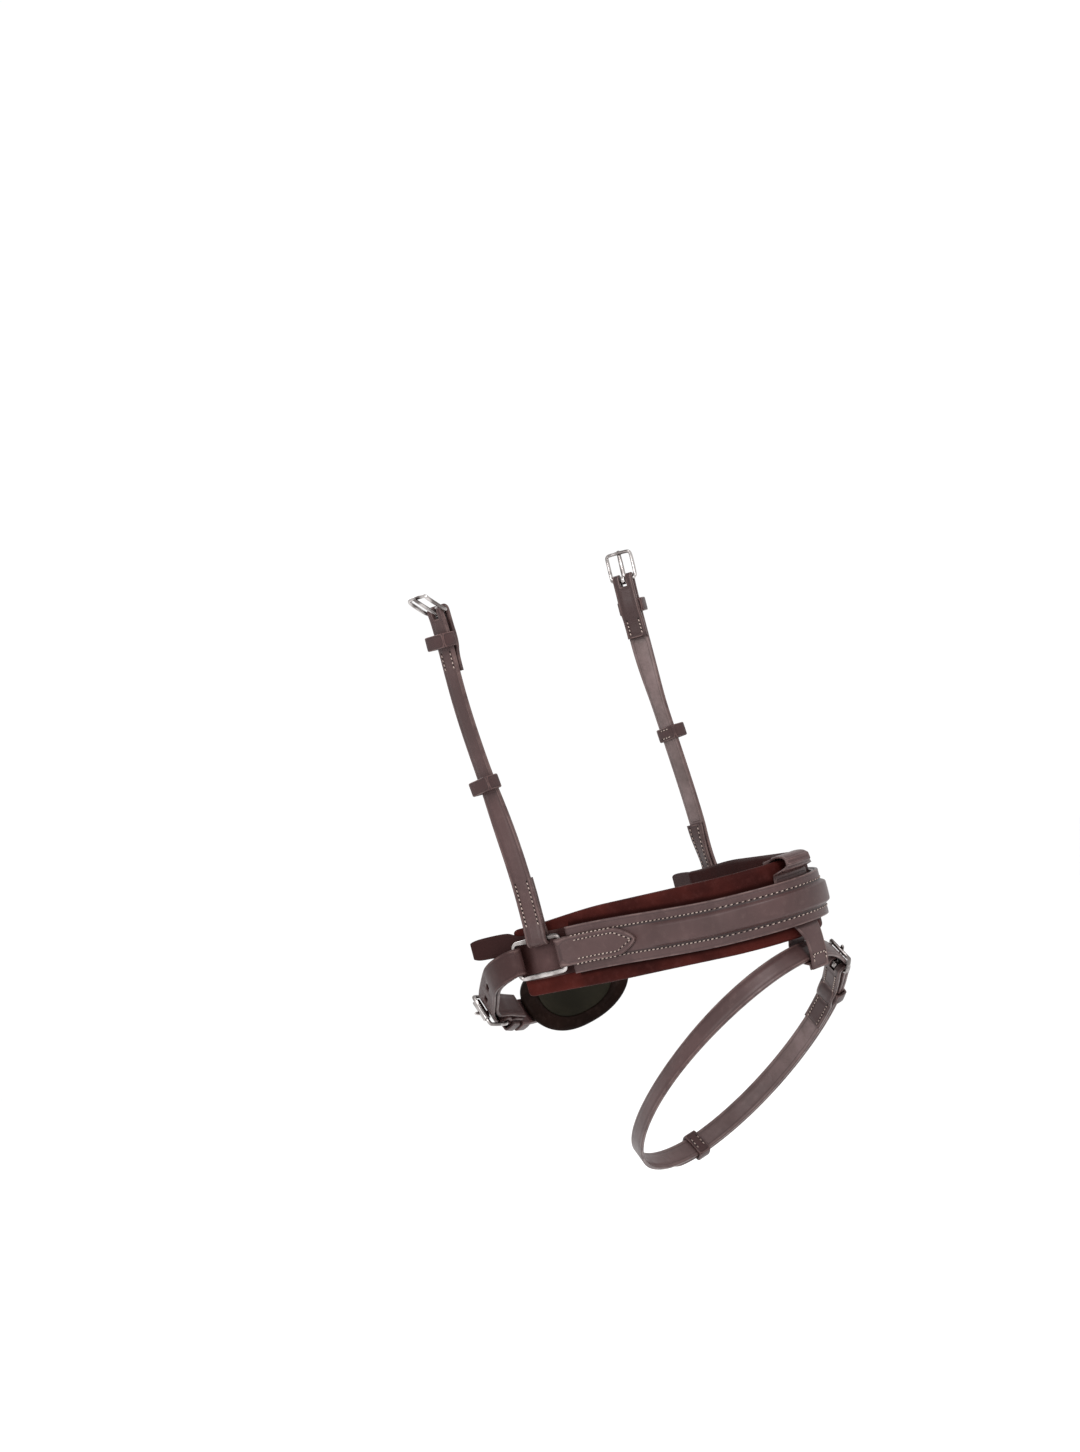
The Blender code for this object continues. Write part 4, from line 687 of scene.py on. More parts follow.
# Colours
BROWN = (0.060, 0.0310, 0.0300)
BROWN_DEEP = (0.026, 0.012, 0.0115)
BROWN_PALE = (0.170, 0.110, 0.100)
FLESH = (0.150, 0.105, 0.103)        # the leather's rough inner side
FLESH_DEEP = (0.084, 0.058, 0.054)
GUARD = (0.078, 0.043, 0.042)
GUARD_PAINTED_SHADE = (0.019, 0.0060, 0.0054)
FINISHES = {
    "brown_leather": leather("brown_leather_finish", BROWN, BROWN_DEEP, BROWN_PALE),
    "face": leather("face_leather_finish", BROWN, BROWN_DEEP, BROWN_PALE, seam=True),
    "guard": leather("guard_leather_finish", GUARD, BROWN_DEEP, BROWN_PALE, shaded=True, specular=0.06),
    "strap": leather("strap_leather_finish", BROWN, BROWN_DEEP, BROWN_PALE, crown=15.0),
    # painted shade: a darker copy of the brown leather for the chin strap and billet, which face away from
    # the light
    "chin": leather("chin_leather_finish", (0.039, 0.0185, 0.0178), BROWN_DEEP, (0.115, 0.070, 0.064),
                    crown=9.0, specular=0.14),
    "dark_leather": leather("dark_leather_finish", (0.040, 0.0165, 0.0160), (0.016, 0.0065, 0.0065),
                            (0.150, 0.085, 0.078), pressed=1.1),
    "red_lining": soft_leather("red_lining_finish", (0.052, 0.0100, 0.0078), (0.024, 0.0054, 0.0046),
                               (0.095, 0.030, 0.027), 0.52, 2.6),
    "pad_leather": soft_leather("pad_leather_finish", (0.0105, 0.0052, 0.0040), (0.0056, 0.0030, 0.0023),
                                (0.040, 0.024, 0.020), 0.50, 0.8),
    "dark_lining": satin("dark_lining_finish", (0.0115, 0.0098, 0.0058), (0.0056, 0.0048, 0.0028),
                         (0.028, 0.025, 0.017)),
    "thread": thread("thread_finish", (0.38, 0.30, 0.265), (0.16, 0.11, 0.095)),
    "slot": painted_slot_shade("awl_slot_finish", (0.0070, 0.0030, 0.0028), (0.0040, 0.0018, 0.0016)),
    "steel": steel("steel_finish", (0.47, 0.44, 0.43), (0.085, 0.070, 0.066)),
}


# Finished meshes

def add_object(name, data):
    obj = bpy.data.objects.new(name, data)
    bpy.context.scene.collection.objects.link(obj)
    return obj


def add_piece(name, mesh, finish):
    mesh.materials.clear()
    mesh.materials.append(FINISHES[finish])
    return add_object(name, mesh)


def subdivide(obj, levels):
    finer = obj.modifiers.new("finer", "SUBSURF")
    finer.levels = levels
    finer.render_levels = levels


def evaluated(obj):
    """The object's mesh with its modifiers worked in."""
    graph = bpy.context.evaluated_depsgraph_get()
    graph.update()
    return bpy.data.meshes.new_from_object(obj.evaluated_get(graph))


def set_values(mesh, name, values):
    attribute = mesh.attributes.new(name, "FLOAT", "POINT")
    attribute.data.foreach_set("value", np.asarray(values, np.float32))


def search_tree(points):
    tree = KDTree(len(points))
    for number, point in enumerate(points):
        tree.insert(point, number)
    tree.balance()
    return tree


def mark_rim(mesh, angle):
    """Each point's distance in millimetres to the nearest cut edge, for paint, wear and pressed lines."""
    bm = bmesh.new()
    bm.from_mesh(mesh)
    sharp = [e for e in bm.edges if len(e.link_faces) == 2 and e.calc_face_angle() > angle]
    samples = [vert.co.lerp(e.other_vert(vert).co, share) for e in sharp
               for vert in e.verts[:1] for share in RIM_SAMPLES]
    tree = search_tree(samples or [Vector((FAR, FAR, FAR))])
    set_values(mesh, "rim", [tree.find(vert.co)[2] / MM for vert in bm.verts])
    bm.free()


def mark_flesh(mesh, course, whole, low, high, thick, fade=1.0):
    """Mark a strap's inner side: its rough side from low to high along the course, its laps outside that run.

    Painted shade: the rough side is darker away from the high end, down to a share of fade.
    """
    knots = spread(0.0, whole, FLESH_KNOTS)
    tree = search_tree([course.place(s) for s in knots])
    flesh, laps = [], []
    for vert in mesh.vertices:
        s = knots[tree.find(vert.co)[1]]
        inner = (vert.co - course.place(s)).dot(course.axes(s)[1]) < -INNER_SHARE * thick
        bare = smooth((s - low) / MM) * smooth((high - s) / MM)
        flesh.append(bare * mix(1.0, fade, smooth((high - s) / FLESH_SHADE_RUN)) if inner else 0.0)
        # laps get painted shade on their inner side
        laps.append(1.0 - bare if inner else 0.0)
    set_values(mesh, "flesh", flesh)
    set_values(mesh, "lap", laps)


def refined(node, levels, creased, swollen):
    """Finer copy of a CAD node: quads, smooth along its length, with its cut edges kept."""
    bm = bmesh.new()
    bm.from_mesh(frame["nodes"][node].data)
    bmesh.ops.remove_doubles(bm, verts=bm.verts, dist=MERGE)
    bmesh.ops.join_triangles(bm, faces=bm.faces, angle_face_threshold=QUAD_ANGLE,
                             angle_shape_threshold=math.pi)
    if creased:
        layer = bm.edges.layers.float.new("crease_edge")
        for edge in bm.edges:
            if len(edge.link_faces) == 2 and edge.calc_face_angle() > CREASE_ANGLE:
                edge[layer] = creased
    if swollen:
        bm.normal_update()
        for vert, place in [(v, v.co + v.normal * swollen) for v in bm.verts]:
            vert.co = place
    rough = bpy.data.meshes.new(node + "_rough")
    bm.to_mesh(rough)
    bm.free()
    obj = add_object(node + "_rough", rough)
    subdivide(obj, levels)
    mesh = evaluated(obj)
    bpy.data.objects.remove(obj)
    bpy.data.meshes.remove(rough)
    mesh.shade_smooth()
    return mesh


def dress(node, finish="brown_leather",
          levels=2, creased=1.0, swollen=0.0, reshape=None):
    """A refined piece stands for the CAD node, on the same body."""
    mesh = refined(node, levels, creased, swollen)
    for vert in mesh.vertices if reshape else ():
        vert.co = reshape(vert.co)
    mark_rim(mesh, mix(BAND_ANGLE, CREASE_ANGLE, smooth(creased)))
    obj = add_piece(node + "_finished", mesh, finish)
    if creased:
        rounded = obj.modifiers.new("round edges", "WEIGHTED_NORMAL")
        rounded.keep_sharp = False
        rounded.weight = NORMAL_WEIGHT
    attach(obj, frame["nodes"][node]["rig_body"])
    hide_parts(node)
    return obj


def dress_steel(node, swollen):
    dress(node, "steel", creased=0.0, swollen=swollen)


def dress_band(node):
    """A keeper or a runner."""
    return dress(node, "dark_leather", creased=BAND_CREASE)


def tube_faces(rings, count, first=0):
    """Faces of a closed tube whose points begin at first: quads between its rings, and one over each end."""
    faces = []
    last = first + (rings - 1) * count
    for start in range(first, last, count):
        for j in range(count):
            k = (j + 1) % count
            faces.append((start + j, start + k, start + count + k, start + count + j))
    return faces + [tuple(reversed(range(first, first + count))), tuple(range(last, last + count))]


def skin(name, rings, finish, values=None):
    """Join rings of points into a closed skin; values are lists of numbers by ring and point."""
    mesh = bpy.data.meshes.new(name)
    mesh.from_pydata([tuple(p) for ring in rings for p in ring], [], tube_faces(len(rings), len(rings[0])))
    bm = bmesh.new()
    bm.from_mesh(mesh)
    bmesh.ops.recalc_face_normals(bm, faces=bm.faces)
    bm.to_mesh(mesh)
    bm.free()
    mesh.shade_smooth()
    for key, table in (values or {}).items():
        set_values(mesh, key, [v for row in table for v in row])
    return add_piece(name, mesh, finish)


# Nosepiece

def pad_thick(s):
    return mix(PAD_THICK, PAD_END_THICK, ease(abs(s), BAR_AT - PAD_TAPER, PAD_TAPER))


def pad_reach(s, edge, end):
    return mix(edge, end, ease(abs(s), BAR_AT - PAD_TAPER, PAD_TAPER + PAD_TAIL))


def tab_lift(s):
    return (TAB_THICK + GAP) * (1.0 - ease(abs(s), *TAB_EASE))


def shelf_height(s):
    """Upper side of the carrier strap, with the gap above it."""
    return PAD_THICK + 2 * GAP + CARRIER_THICK + tab_lift(s)


def face_half(s):
    return mix(FACE_WIDTH_FRONT, FACE_WIDTH_REAR, smooth(abs(s) / FACE_WIDTH_RUN)) / 2


def droop(s):
    return FACE_DROOP * (1.0 - ease(abs(s), *DROOP))


def nose_spot(point):
    """Distance along the nosepiece, height and width of a point beside it."""
    x, y = abs(point.x), point.y
    angle = math.atan2(x, NOSE_RADIUS - y)
    if 0.0 <= angle <= NOSE_TURN:
        s, n = angle * NOSE_RADIUS, math.hypot(x, NOSE_RADIUS - y) - NOSE_RADIUS
    else:
        along, out, _ = NOSE.axes(ARM_POINT)
        reach = Vector((x, y, 0.0)) - NOSE.place(NOSE_BEND)
        s, n = NOSE_BEND + reach.dot(along), reach.dot(out)
    return math.copysign(s, point.x), n, point.z


def raise_of(s):
    fade = 1.0 - ease(abs(s), RAISE_END - RAISE_FADE, RAISE_FADE)
    fall = smooth((RAISE_END + RAISE_FALL - abs(s)) / RAISE_FALL)
    return (mix(THIN, RAISE_HEIGHT, fade) + GAP) * min(1.0, fade * RAISE_HOLD + fall)


def hang_lower(point):
    """The strap under the face leather follows its droop."""
    s, n, w = nose_spot(point)
    return NOSE.point(s, n, w - droop(s)) if abs(s) < sum(DROOP) else point


def draw_in(point):
    """The tab is narrower at its rolled top, and its rear leaf leaves room for the flash strap to tip."""
    s, n, w = nose_spot(point)
    top = ease(w, *TAB_HUMP) * ease(n, *TAB_OUTER)
    rear = ease(-n, *TAB_REAR) * ease(-w, *TAB_LOW)
    if not top and not rear:
        return point
    return NOSE.point(s * mix(1.0, TAB_HUMP_SHARE, top), n - TAB_ROOM * rear, w)


def dress_guard(side):
    obj = dress("ring_guard_" + side, "guard")
    # painted shade by the front bar, and from near the rear bar on
    shades = []
    for vert in obj.data.vertices:
        s = abs(nose_spot(vert.co)[0]) - BAR_AT
        shades.append(max(1.0 - ease(s, *GUARD_FRONT), ease(s, *GUARD_REAR)))
    set_values(obj.data, "shade", shades)


def face_section(s):
    """Closed section of the face leather, as (height, width) points from the top of its raised centre."""
    half = face_half(s)
    shelf = shelf_height(s)
    top = shelf + FACE_THICK
    rise = raise_of(s)
    line = []
    for share in RAISE_SHARES:
        slope = ease(share, *RAISE_SLOPE)
        crown = RAISE_CROWN * (1.0 - share * share) * rise / RAISE_HEIGHT
        line.append((top + rise * (1.0 - slope) + crown, share * RAISE_FOOT))
    margin = [RAISE_FOOT + FOOT_STEP] + [FACE_ROW + step for step in MARGIN_STEPS]
    line += [(top, w) for w in margin + [mix(FACE_ROW, half, MARGIN_SHARE)]]
    for degrees in (90, 60, 30, 0):
        angle = math.radians(degrees)
        line.append((top - FACE_EDGE + FACE_EDGE * math.sin(angle),
                     half - FACE_EDGE + FACE_EDGE * math.cos(angle)))
    under = [(shelf, half), (shelf, RAISE_FOOT), (shelf + rise * UNDER_RISE, RAISE_FOOT * UNDER_SHARE)]
    right = line[1:] + under
    return [line[0]] + right + [(shelf + rise, 0.0)] + [(n, -w) for n, w in reversed(right)]


def dress_face():
    """Face leather in one finely divided skin: flat stitched margins and a crowned, raised centre."""
    end = BAR_AT - FACE_END
    rings, rims, seams, feet = [], [], [], []
    for s in spread(-end, end, int(2 * end / FACE_STEP)):
        section = face_section(s)
        _, out, across = NOSE.axes(s)
        base = NOSE.place(s)
        rings.append([base + out * n + across * (w - droop(s)) for n, w in section])
        upper = shelf_height(s) + FACE_THICK - FACE_EDGE
        rims.append([(face_half(s) - abs(w)) / MM if n > upper else 0.0 for n, w in section])
        seams.append([(abs(w) - FACE_ROW) / MM if n > upper else FAR for n, w in section])
        # distance from the raised centre's foot, where painted shade darkens its crease
        feet.append([(abs(w) - RAISE_FOOT) / MM if n > upper else FAR for n, w in section])
    obj = skin("face_leather_finished", rings, "face", {"rim": rims, "seam": seams, "foot": feet})
    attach(obj, "nosepiece")
    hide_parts("face_leather")
    return obj


def pillow_line(top, bottom, thick):
    """Closed section of a cushion, as (height, width) points, from its outer middle round the top edge."""
    depth = thick / 2

    def half_line(reach):
        flat = [share * (reach - depth) for share in spread(0.0, PAD_FLAT, PAD_FLAT_POINTS)]
        pts = [(thick, w) for w in flat]
        for degrees in spread(PAD_ROUND_TURN, -PAD_ROUND_TURN, PAD_ROUND_POINTS):
            angle = math.radians(degrees)
            width = depth * PAD_ROUND
            pts.append((depth + depth * math.sin(angle), reach - width + width * math.cos(angle)))
        return pts + [(0.0, w) for w in reversed(flat)]

    upper = half_line(top)
    lower = half_line(bottom)
    return upper + [(n, -w) for n, w in reversed(lower[1:-1])]


def pad_sections():
    """Rings of the nosepiece cushion; its two ends are rounded off."""
    end = BAR_AT + PAD_TAIL
    straight_end = end - PAD_END_ROUND
    inner = spread(-straight_end, straight_end, int(2 * end / PAD_STEP))
    outer = [end - PAD_END_ROUND * (1.0 - math.sin(math.radians(a))) for a in PAD_END_TURNS]
    stations = [-s for s in reversed(outer)] + inner + outer
    rings = []
    for s in stations:
        past = max(0.0, (abs(s) - straight_end) / PAD_END_ROUND)
        shrink = math.sqrt(max(0.0, 1.0 - past ** 2))
        drawn = (1.0 - shrink) * PAD_END_DRAW
        thick = pad_thick(s)
        line = pillow_line(pad_reach(s, PAD_TOP, PAD_END_TOP) - drawn,
                           pad_reach(s, PAD_BOTTOM, PAD_END_BOTTOM) - drawn, thick)
        middle = thick / 2
        flat = max(PAD_END_LEAST, shrink)
        _, out, across = NOSE.axes(s)
        base = NOSE.place(s)
        rings.append([base + out * (middle + (n - middle) * flat) + across * w for n, w in line])
    return stations, rings


def swell(obj, free, cap):
    """Swell a closed cushion by cloth pressure; free is each point's share of the cap that it may move by."""
    scene = bpy.context.scene
    mesh = obj.data
    group = obj.vertex_groups.new(name="held")
    for number, share in enumerate(free):
        group.add([number], 1.0 - share, "REPLACE")
    cloth = obj.modifiers.new("swell", "CLOTH")
    settings = cloth.settings
    settings.use_pressure = True
    settings.uniform_pressure_force = PRESSURE
    settings.vertex_group_mass = "held"
    settings.quality = CLOTH_QUALITY
    settings.effector_weights.gravity = 0.0
    cloth.collision_settings.use_collision = False
    cloth.point_cache.frame_end = CLOTH_FRAMES
    for number in range(1, CLOTH_FRAMES + 1):
        scene.frame_set(number)
    graph = bpy.context.evaluated_depsgraph_get()
    moved = obj.evaluated_get(graph).to_mesh()
    before = np.array([v.co for v in mesh.vertices])
    after = np.array([v.co for v in moved.vertices])
    obj.evaluated_get(graph).to_mesh_clear()
    travel = after - before
    length = np.maximum(np.linalg.norm(travel, axis=1), TINY)
    allowed = cap * np.asarray(free)
    travel *= (allowed * np.tanh(length / np.maximum(allowed, TINY)) / length)[:, None]
    obj.modifiers.remove(cloth)
    obj.vertex_groups.clear()
    scene.frame_set(1)
    mesh.vertices.foreach_set("co", (before + travel).ravel())
    mesh.update()


def dress_padding():
    """Cushion of the nosepiece: supple leather over foam, puffed out beside the strap that holds it."""
    stations, rings = pad_sections()
    free, shades, seams = [], [], []
    for s, ring in zip(stations, rings):
        _, out, across = NOSE.axes(s)
        base = NOSE.place(s)
        by_tab = ease(abs(s), *PAD_TAB)
        by_end = 1.0 - ease(abs(s), *PAD_END)
        for point in ring:
            w = (point - base).dot(across)
            outer = (point - base).dot(out) > pad_thick(s) / 2
            by_strap = ease(abs(w), *PAD_STRAP) if outer else 1.0
            free.append(PAD_LEAST_FREE + (1.0 - PAD_LEAST_FREE) * by_strap * by_tab * by_end)
            covered = outer and abs(s) < BAR_AT - FACE_END
            # distance from the face leather's edge, where painted shade darkens the lining under it
            seams.append((abs(w + droop(s)) - face_half(s) - PAD_SEAM_OFF) / MM if covered else FAR)
            # painted shade on the far arm's inner side
            far_side = ease(s, *PAD_SHADE_ALONG) * ease(w, *PAD_SHADE_ACROSS)
            shades.append(0.0 if outer else far_side)
    obj = skin("nose_padding", rings, "red_lining", {"seam": [seams], "shade": [shades]})
    swell(obj, free, PAD_PUFF)
    subdivide(obj, 1)
    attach(obj, "nosepiece")
    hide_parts("nose_lining", "nose_foam")


# Chin pad; shares are of the way from its middle to its edge

CHIN_PAD_CROSS_POWER = 2.15
CHIN_PAD_MORE = 0.0005            # longer and lower than the solid by these
CHIN_PAD_LESS = 0.0004
CHIN_PAD_SPOKES = 84
PAD_OUTSIDE = (CHIN_THICK + TWIST_GAP) / 2 - CHIN_THICK / 2 - GAP
PAD_INSIDE = PAD_OUTSIDE - CHIN_PAD_THICK
SEAM_BELOW = PAD_OUTSIDE - 0.0020
SEAM_SCALE = 28.0
HELD = 0.03                       # each row's freedom to swell
RIM_FREE = 0.9
RIM_PUFF = 0.0007
RIM_FROM = 0.955
RIM_TO = 0.70
RIM_RUN = 0.16
RIM_EDGE = 0.0044
RIM_SINK = 0.0012
RIM_CREST = 0.0007
EDGE_HELD_FROM = 0.97
FLOOR_SINK = 0.0021
PANEL_HELD = 0.02
PANEL_FREE = (0.45, 0.22)
PANEL_PUFF = 0.0009
PANEL_SINK = 0.0011
PANEL_BACK = 0.0017
PANEL_CROWN = 0.0016
OUTER_SHARES = (0.03, 0.15, 0.30, 0.45, 0.60, 0.72, 0.82, 0.90)
EDGE_BENDS = ((0.955, -0.0006), (0.985, -0.0016), (1.0, -0.0028), (0.985, -0.0040), (0.955, -0.0049))
RIM_SHARES = (0.91, 0.86, 0.81, 0.76, 0.72)
FLOOR_SHARES = (0.67, 0.55, 0.40, 0.25, 0.12, 0.03)
PANEL_TOP_SHARES = (0.03, 0.14, 0.26, 0.38, 0.48, 0.57, 0.64, 0.69)
PANEL_BACK_SHARES = (0.695, 0.66, 0.50, 0.30, 0.10)


def oval_power(value, power):
    return math.copysign(abs(value) ** (2 / power), value)


def pad_ring(share, height):
    """Ring of points round the chin pad, at a share of the way from its middle to its edge."""
    half_length = CHIN_PAD_LENGTH / 2 + CHIN_PAD_MORE
    half_height = CHIN_PAD_HEIGHT / 2 - CHIN_PAD_LESS
    ring = []
    for k in range(CHIN_PAD_SPOKES):
        angle = 2 * math.pi * k / CHIN_PAD_SPOKES
        d = CHIN_PAD_SHIFT + share * half_length * oval_power(math.cos(angle), CHIN_PAD_POWER)
        w = share * half_height * oval_power(math.sin(angle), CHIN_PAD_CROSS_POWER)
        ring.append(CHIN.point(d, height, w))
    return ring


def rim_height(share):
    """Inner side of the pad's rolled leather rim."""
    crest = math.sin(math.pi * (RIM_FROM - share) / (RIM_FROM - RIM_TO))
    low, high = PAD_OUTSIDE - RIM_EDGE, PAD_INSIDE + RIM_SINK
    return mix(low, high, smooth((RIM_FROM - share) / RIM_RUN)) - RIM_CREST * max(0.0, crest)


def pad_skin(name, rows, finish, puff):
    """Skin of the chin pad from rows of (share, height, free), swollen where it is free."""
    rings = [pad_ring(share, height) for share, height, _ in rows]
    # distance from the seam between rim and panel, where painted shade darkens the crease
    seams = [[abs(share - RIM_TO) * SEAM_SCALE if height < SEAM_BELOW else FAR] * CHIN_PAD_SPOKES
             for share, height, _ in rows]
    obj = skin(name, rings, finish, {"seam": seams})
    swell(obj, [free for _, _, free in rows for _ in range(CHIN_PAD_SPOKES)], puff)
    return obj


def pad_cover():
    """The pad's leather cup: back, rolled edge, rim and the floor under the panel."""
    rows = [(share, PAD_OUTSIDE, HELD) for share in OUTER_SHARES]
    for share, drop in EDGE_BENDS:
        rows.append((share, PAD_OUTSIDE + drop, RIM_FREE if share < EDGE_HELD_FROM else HELD))
    rows += [(share, rim_height(share), RIM_FREE) for share in RIM_SHARES]
    rows += [(share, PAD_INSIDE + FLOOR_SINK, HELD) for share in FLOOR_SHARES]
    return pad_skin("chin_padding", rows, "pad_leather", RIM_PUFF)


def pad_panel():
    """The crowned satin panel towards the jaw."""
    rows = []
    for share in PANEL_TOP_SHARES:
        crown = PANEL_CROWN * math.sqrt(max(0.0, 1.0 - (share / RIM_TO) ** 2))
        rows.append((share, PAD_INSIDE + PANEL_SINK - crown, 1.0 - ease(share, *PANEL_FREE)))
    rows += [(share, PAD_INSIDE + PANEL_BACK, PANEL_HELD) for share in PANEL_BACK_SHARES]
    return pad_skin("chin_panel", rows, "dark_lining", PANEL_PUFF)


def dress_chin_pad():
    """Leather-rimmed oval pad inside the chin strap."""
    for obj, nodes, slot in ((pad_cover(), ("chin_pad_cover", "chin_pad_foam"), "brown_leather"),
                             (pad_panel(), ("chin_pad_lining",), "dark_lining")):
        subdivide(obj, 1)
        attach(obj, "chin")
        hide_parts(*nodes)


# Stitching

class Seams:
    """Gathers the stitches of one body and lays them on the pieces under them."""

    GIRTH_POINTS = 6
    PROFILE = ((-0.5, -0.7, 0.55), (-0.40, 0.35, 0.9), (-0.15, 0.85, 1.0), (0.15, 0.85, 1.0),
               (0.40, 0.35, 0.9), (0.5, -0.7, 0.55))     # share of length, height, girth

    def __init__(self, name, body, pieces):
        self.name = name
        self.body = body
        graph = bpy.context.evaluated_depsgraph_get()
        graph.update()
        self.trees = [BVHTree.FromObject(piece, graph) for piece in pieces]
        self.verts = []
        self.faces = []
        self.finishes = []
        self.chance = random.Random(name)

    def seat(self, point, out):
        """Nearest surface met on the way in along -out, with its normal."""
        found = None
        for tree in self.trees:
            place, normal, _, distance = tree.ray_cast(point + out * SEAT_ABOVE, -out, SEAT_REACH)
            if place is not None and (found is None or distance < found[2]):
                found = (place, normal, distance)
        return found

    def bead(self, place, normal, along, turn, size, finish):
        """Closed bead on the surface; size is its length, radius and rise, finish its material's number."""
        side = normal.cross(along)
        along, side = (along * math.cos(turn) + side * math.sin(turn),
                       side * math.cos(turn) - along * math.sin(turn))
        length, radius, rise = size
        first = len(self.verts)
        for share, lift, girth in self.PROFILE:
            centre = place + along * (share * length) + normal * (lift * rise)
            for k in range(self.GIRTH_POINTS):
                angle = 2 * math.pi * k / self.GIRTH_POINTS
                ring = normal * math.cos(angle) * 0.8 * min(1.0, rise / radius + 0.2) + side * math.sin(angle)
                self.verts.append(centre + ring * radius * girth)
        self.faces += tube_faces(len(self.PROFILE), self.GIRTH_POINTS, first)
        self.finishes += [finish] * (len(self.faces) - len(self.finishes))

    def stitch(self, point, out, along):
        seat = self.seat(point, out)
        if seat is None or seat[1].dot(out) < SEAT_FACING:
            return
        place, normal, _ = seat
        along = (along - normal * along.dot(normal)).normalized()
        turn = STITCH_SLANT + self.chance.uniform(-TURN_PLAY, TURN_PLAY)
        length = STITCH_LENGTH * self.chance.uniform(1.0 - LENGTH_PLAY, 1.0 + LENGTH_PLAY)
        self.bead(place, normal, along, turn, (length, STITCH_RADIUS, STITCH_RISE), 0)
        # a dark bead of painted shade for the awl slot beside the stitch
        beside = self.seat(point + along * (STITCH_PITCH / 2), out)
        if beside is not None and beside[1].dot(out) > SEAT_FACING:
            self.bead(beside[0], beside[1], along, turn, (SLOT_LENGTH, SLOT_RADIUS, SLOT_RISE), 1)

    def row(self, course, start, end, height, across_at):
        """Stitches from start to end along a course; across_at gives the row's side step at a distance."""
        count = max(1, round(abs(end - start) / STITCH_PITCH))
        for k in range(count):
            s = mix(start, end, (k + 0.5) / count)
            _, out, _ = course.axes(s)
            out = out * math.copysign(1.0, height)
            point = course.point(s, height, across_at(s))
            ahead = course.point(s + 0.0005, height, across_at(s + 0.0005))
            self.stitch(point, out, (ahead - point).normalized())

    def line(self, start, end, out):
        """Stitches along a straight line in space."""
        count = max(1, round((end - start).length / STITCH_PITCH))
        for k in range(count):
            self.stitch(start.lerp(end, (k + 0.5) / count), out, (end - start).normalized())

    def make(self):
        mesh = bpy.data.meshes.new(self.name)
        mesh.from_pydata(self.verts, [], self.faces)
        mesh.shade_smooth()
        obj = add_piece(self.name, mesh, "thread")
        # the awl slots' painted shade
        mesh.materials.append(FINISHES["slot"])
        mesh.polygons.foreach_set("material_index", self.finishes)
        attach(obj, self.body)


def sew_nosepiece(face, strap, tab):
    """Rows along the raise, round each pointed lap and round the tab's lower end."""
    seams = Seams("nosepiece_stitching", "nosepiece", [face, strap, tab])
    end = BAR_AT - FACE_END - FACE_ROW_INSET
    top = PAD_THICK + CARRIER_THICK + FACE_THICK + 3 * GAP
    for w in (FACE_ROW, -FACE_ROW):
        seams.row(NOSE, -end, end, top, lambda s, w=w: w - droop(s))
    row = CHAPE_HALF - CHAPE_INSET
    tip = BAR_AT - CHAPE_LAP + CHAPE_TIP
    chape_top = top + CARRIER_THICK + GAP
    for sign in (1, -1):
        for side in (1, -1):
            def taper(s, side=side):
                return side * row * min(1.0, max(0.0, (abs(s) - tip) / CHAPE_SHOULDER)) - droop(s)
            seams.row(NOSE, sign * (BAR_AT - CHAPE_ROW_FROM), sign * tip, chape_top, taper)
    low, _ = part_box("flash_tab")
    forward = Vector((0.0, -1.0, 0.0))
    half, seam_low, seam_top = TAB_SEAM_HALF, low.z + TAB_SEAM_LOW, low.z + TAB_SEAM_TOP
    for z in (seam_top, seam_low):
        seams.line(Vector((-half, low.y, z)), Vector((half, low.y, z)), forward)
    for x in (-half, half):
        seams.line(Vector((x, low.y, seam_low)), Vector((x, low.y, seam_top)), forward)
    seams.make()


def sew_strap(name, body, pieces, course, across, rows):
    """The same rows on both sides of a strap's middle; each has its start, end and height."""
    seams = Seams(name, body, pieces)
    for w in (across, -across):
        for start, end, height in rows:
            seams.row(course, start, end, height, lambda _, w=w: w)
    seams.make()


def sew_hanger(side, strap, course, length):
    low, top = HANGER_LAP - ROW_INSET, length - HANGER_TOP_LAP + ROW_INSET
    outer, inner = HANGER_THICK / 2, -HANGER_THICK * 1.5
    sew_strap("hanger_%s_stitching" % side, "hanger_" + side, [strap], course, HANGER_ROW, (
        (HANGER_ROW_FROM, low, outer), (HANGER_ROW_FROM, low, inner - TWIST_GAP),
        (top, length - HANGER_ROW_TO, outer), (top, length - HANGER_ROW_BACK, inner)))


def sew_band(band, course, at, half):
    """Stitches across a runner's inner side near both of its edges."""
    seams = Seams(band.name + "_stitching", band["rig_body"], [band])
    for step in (-BAND_ROW, BAND_ROW):
        s = at + step
        inward = -course.axes(s)[1]
        seams.line(course.point(s, -BAND_INSIDE, -half), course.point(s, -BAND_INSIDE, half), inward)
    seams.make()


def sew_chin(strap, billet):
    start, end = CHIN_HALF - CHIN_LAP + ROW_INSET, CHIN_HALF - CHIN_ROW_TO
    top = (CHIN_THICK + TWIST_GAP) / 2 + CHIN_THICK / 2
    sew_strap("chin_stitching", "chin", [strap, billet], CHIN, CHIN_ROW,
              ((start, end, top), (start, end, -top)))


def sew_flash(strap):
    heel, loop = FLASH_ROUND - FLASH_BUCKLE_AT, FLASH_ROUND - FLASH_LOOP_AT
    inner = -FLASH_THICK * 1.5 - GAP
    sew_strap("flash_stitching", "flash", [strap], FLASH, FLASH_ROW,
              ((heel - FLASH_LAP + FLASH_ROW_INSET, loop - FLASH_ROW_LOOP, inner),
               (loop + FLASH_ROW_HEEL, heel - FLASH_ROW_HEEL, inner)))


# Floor, light and camera

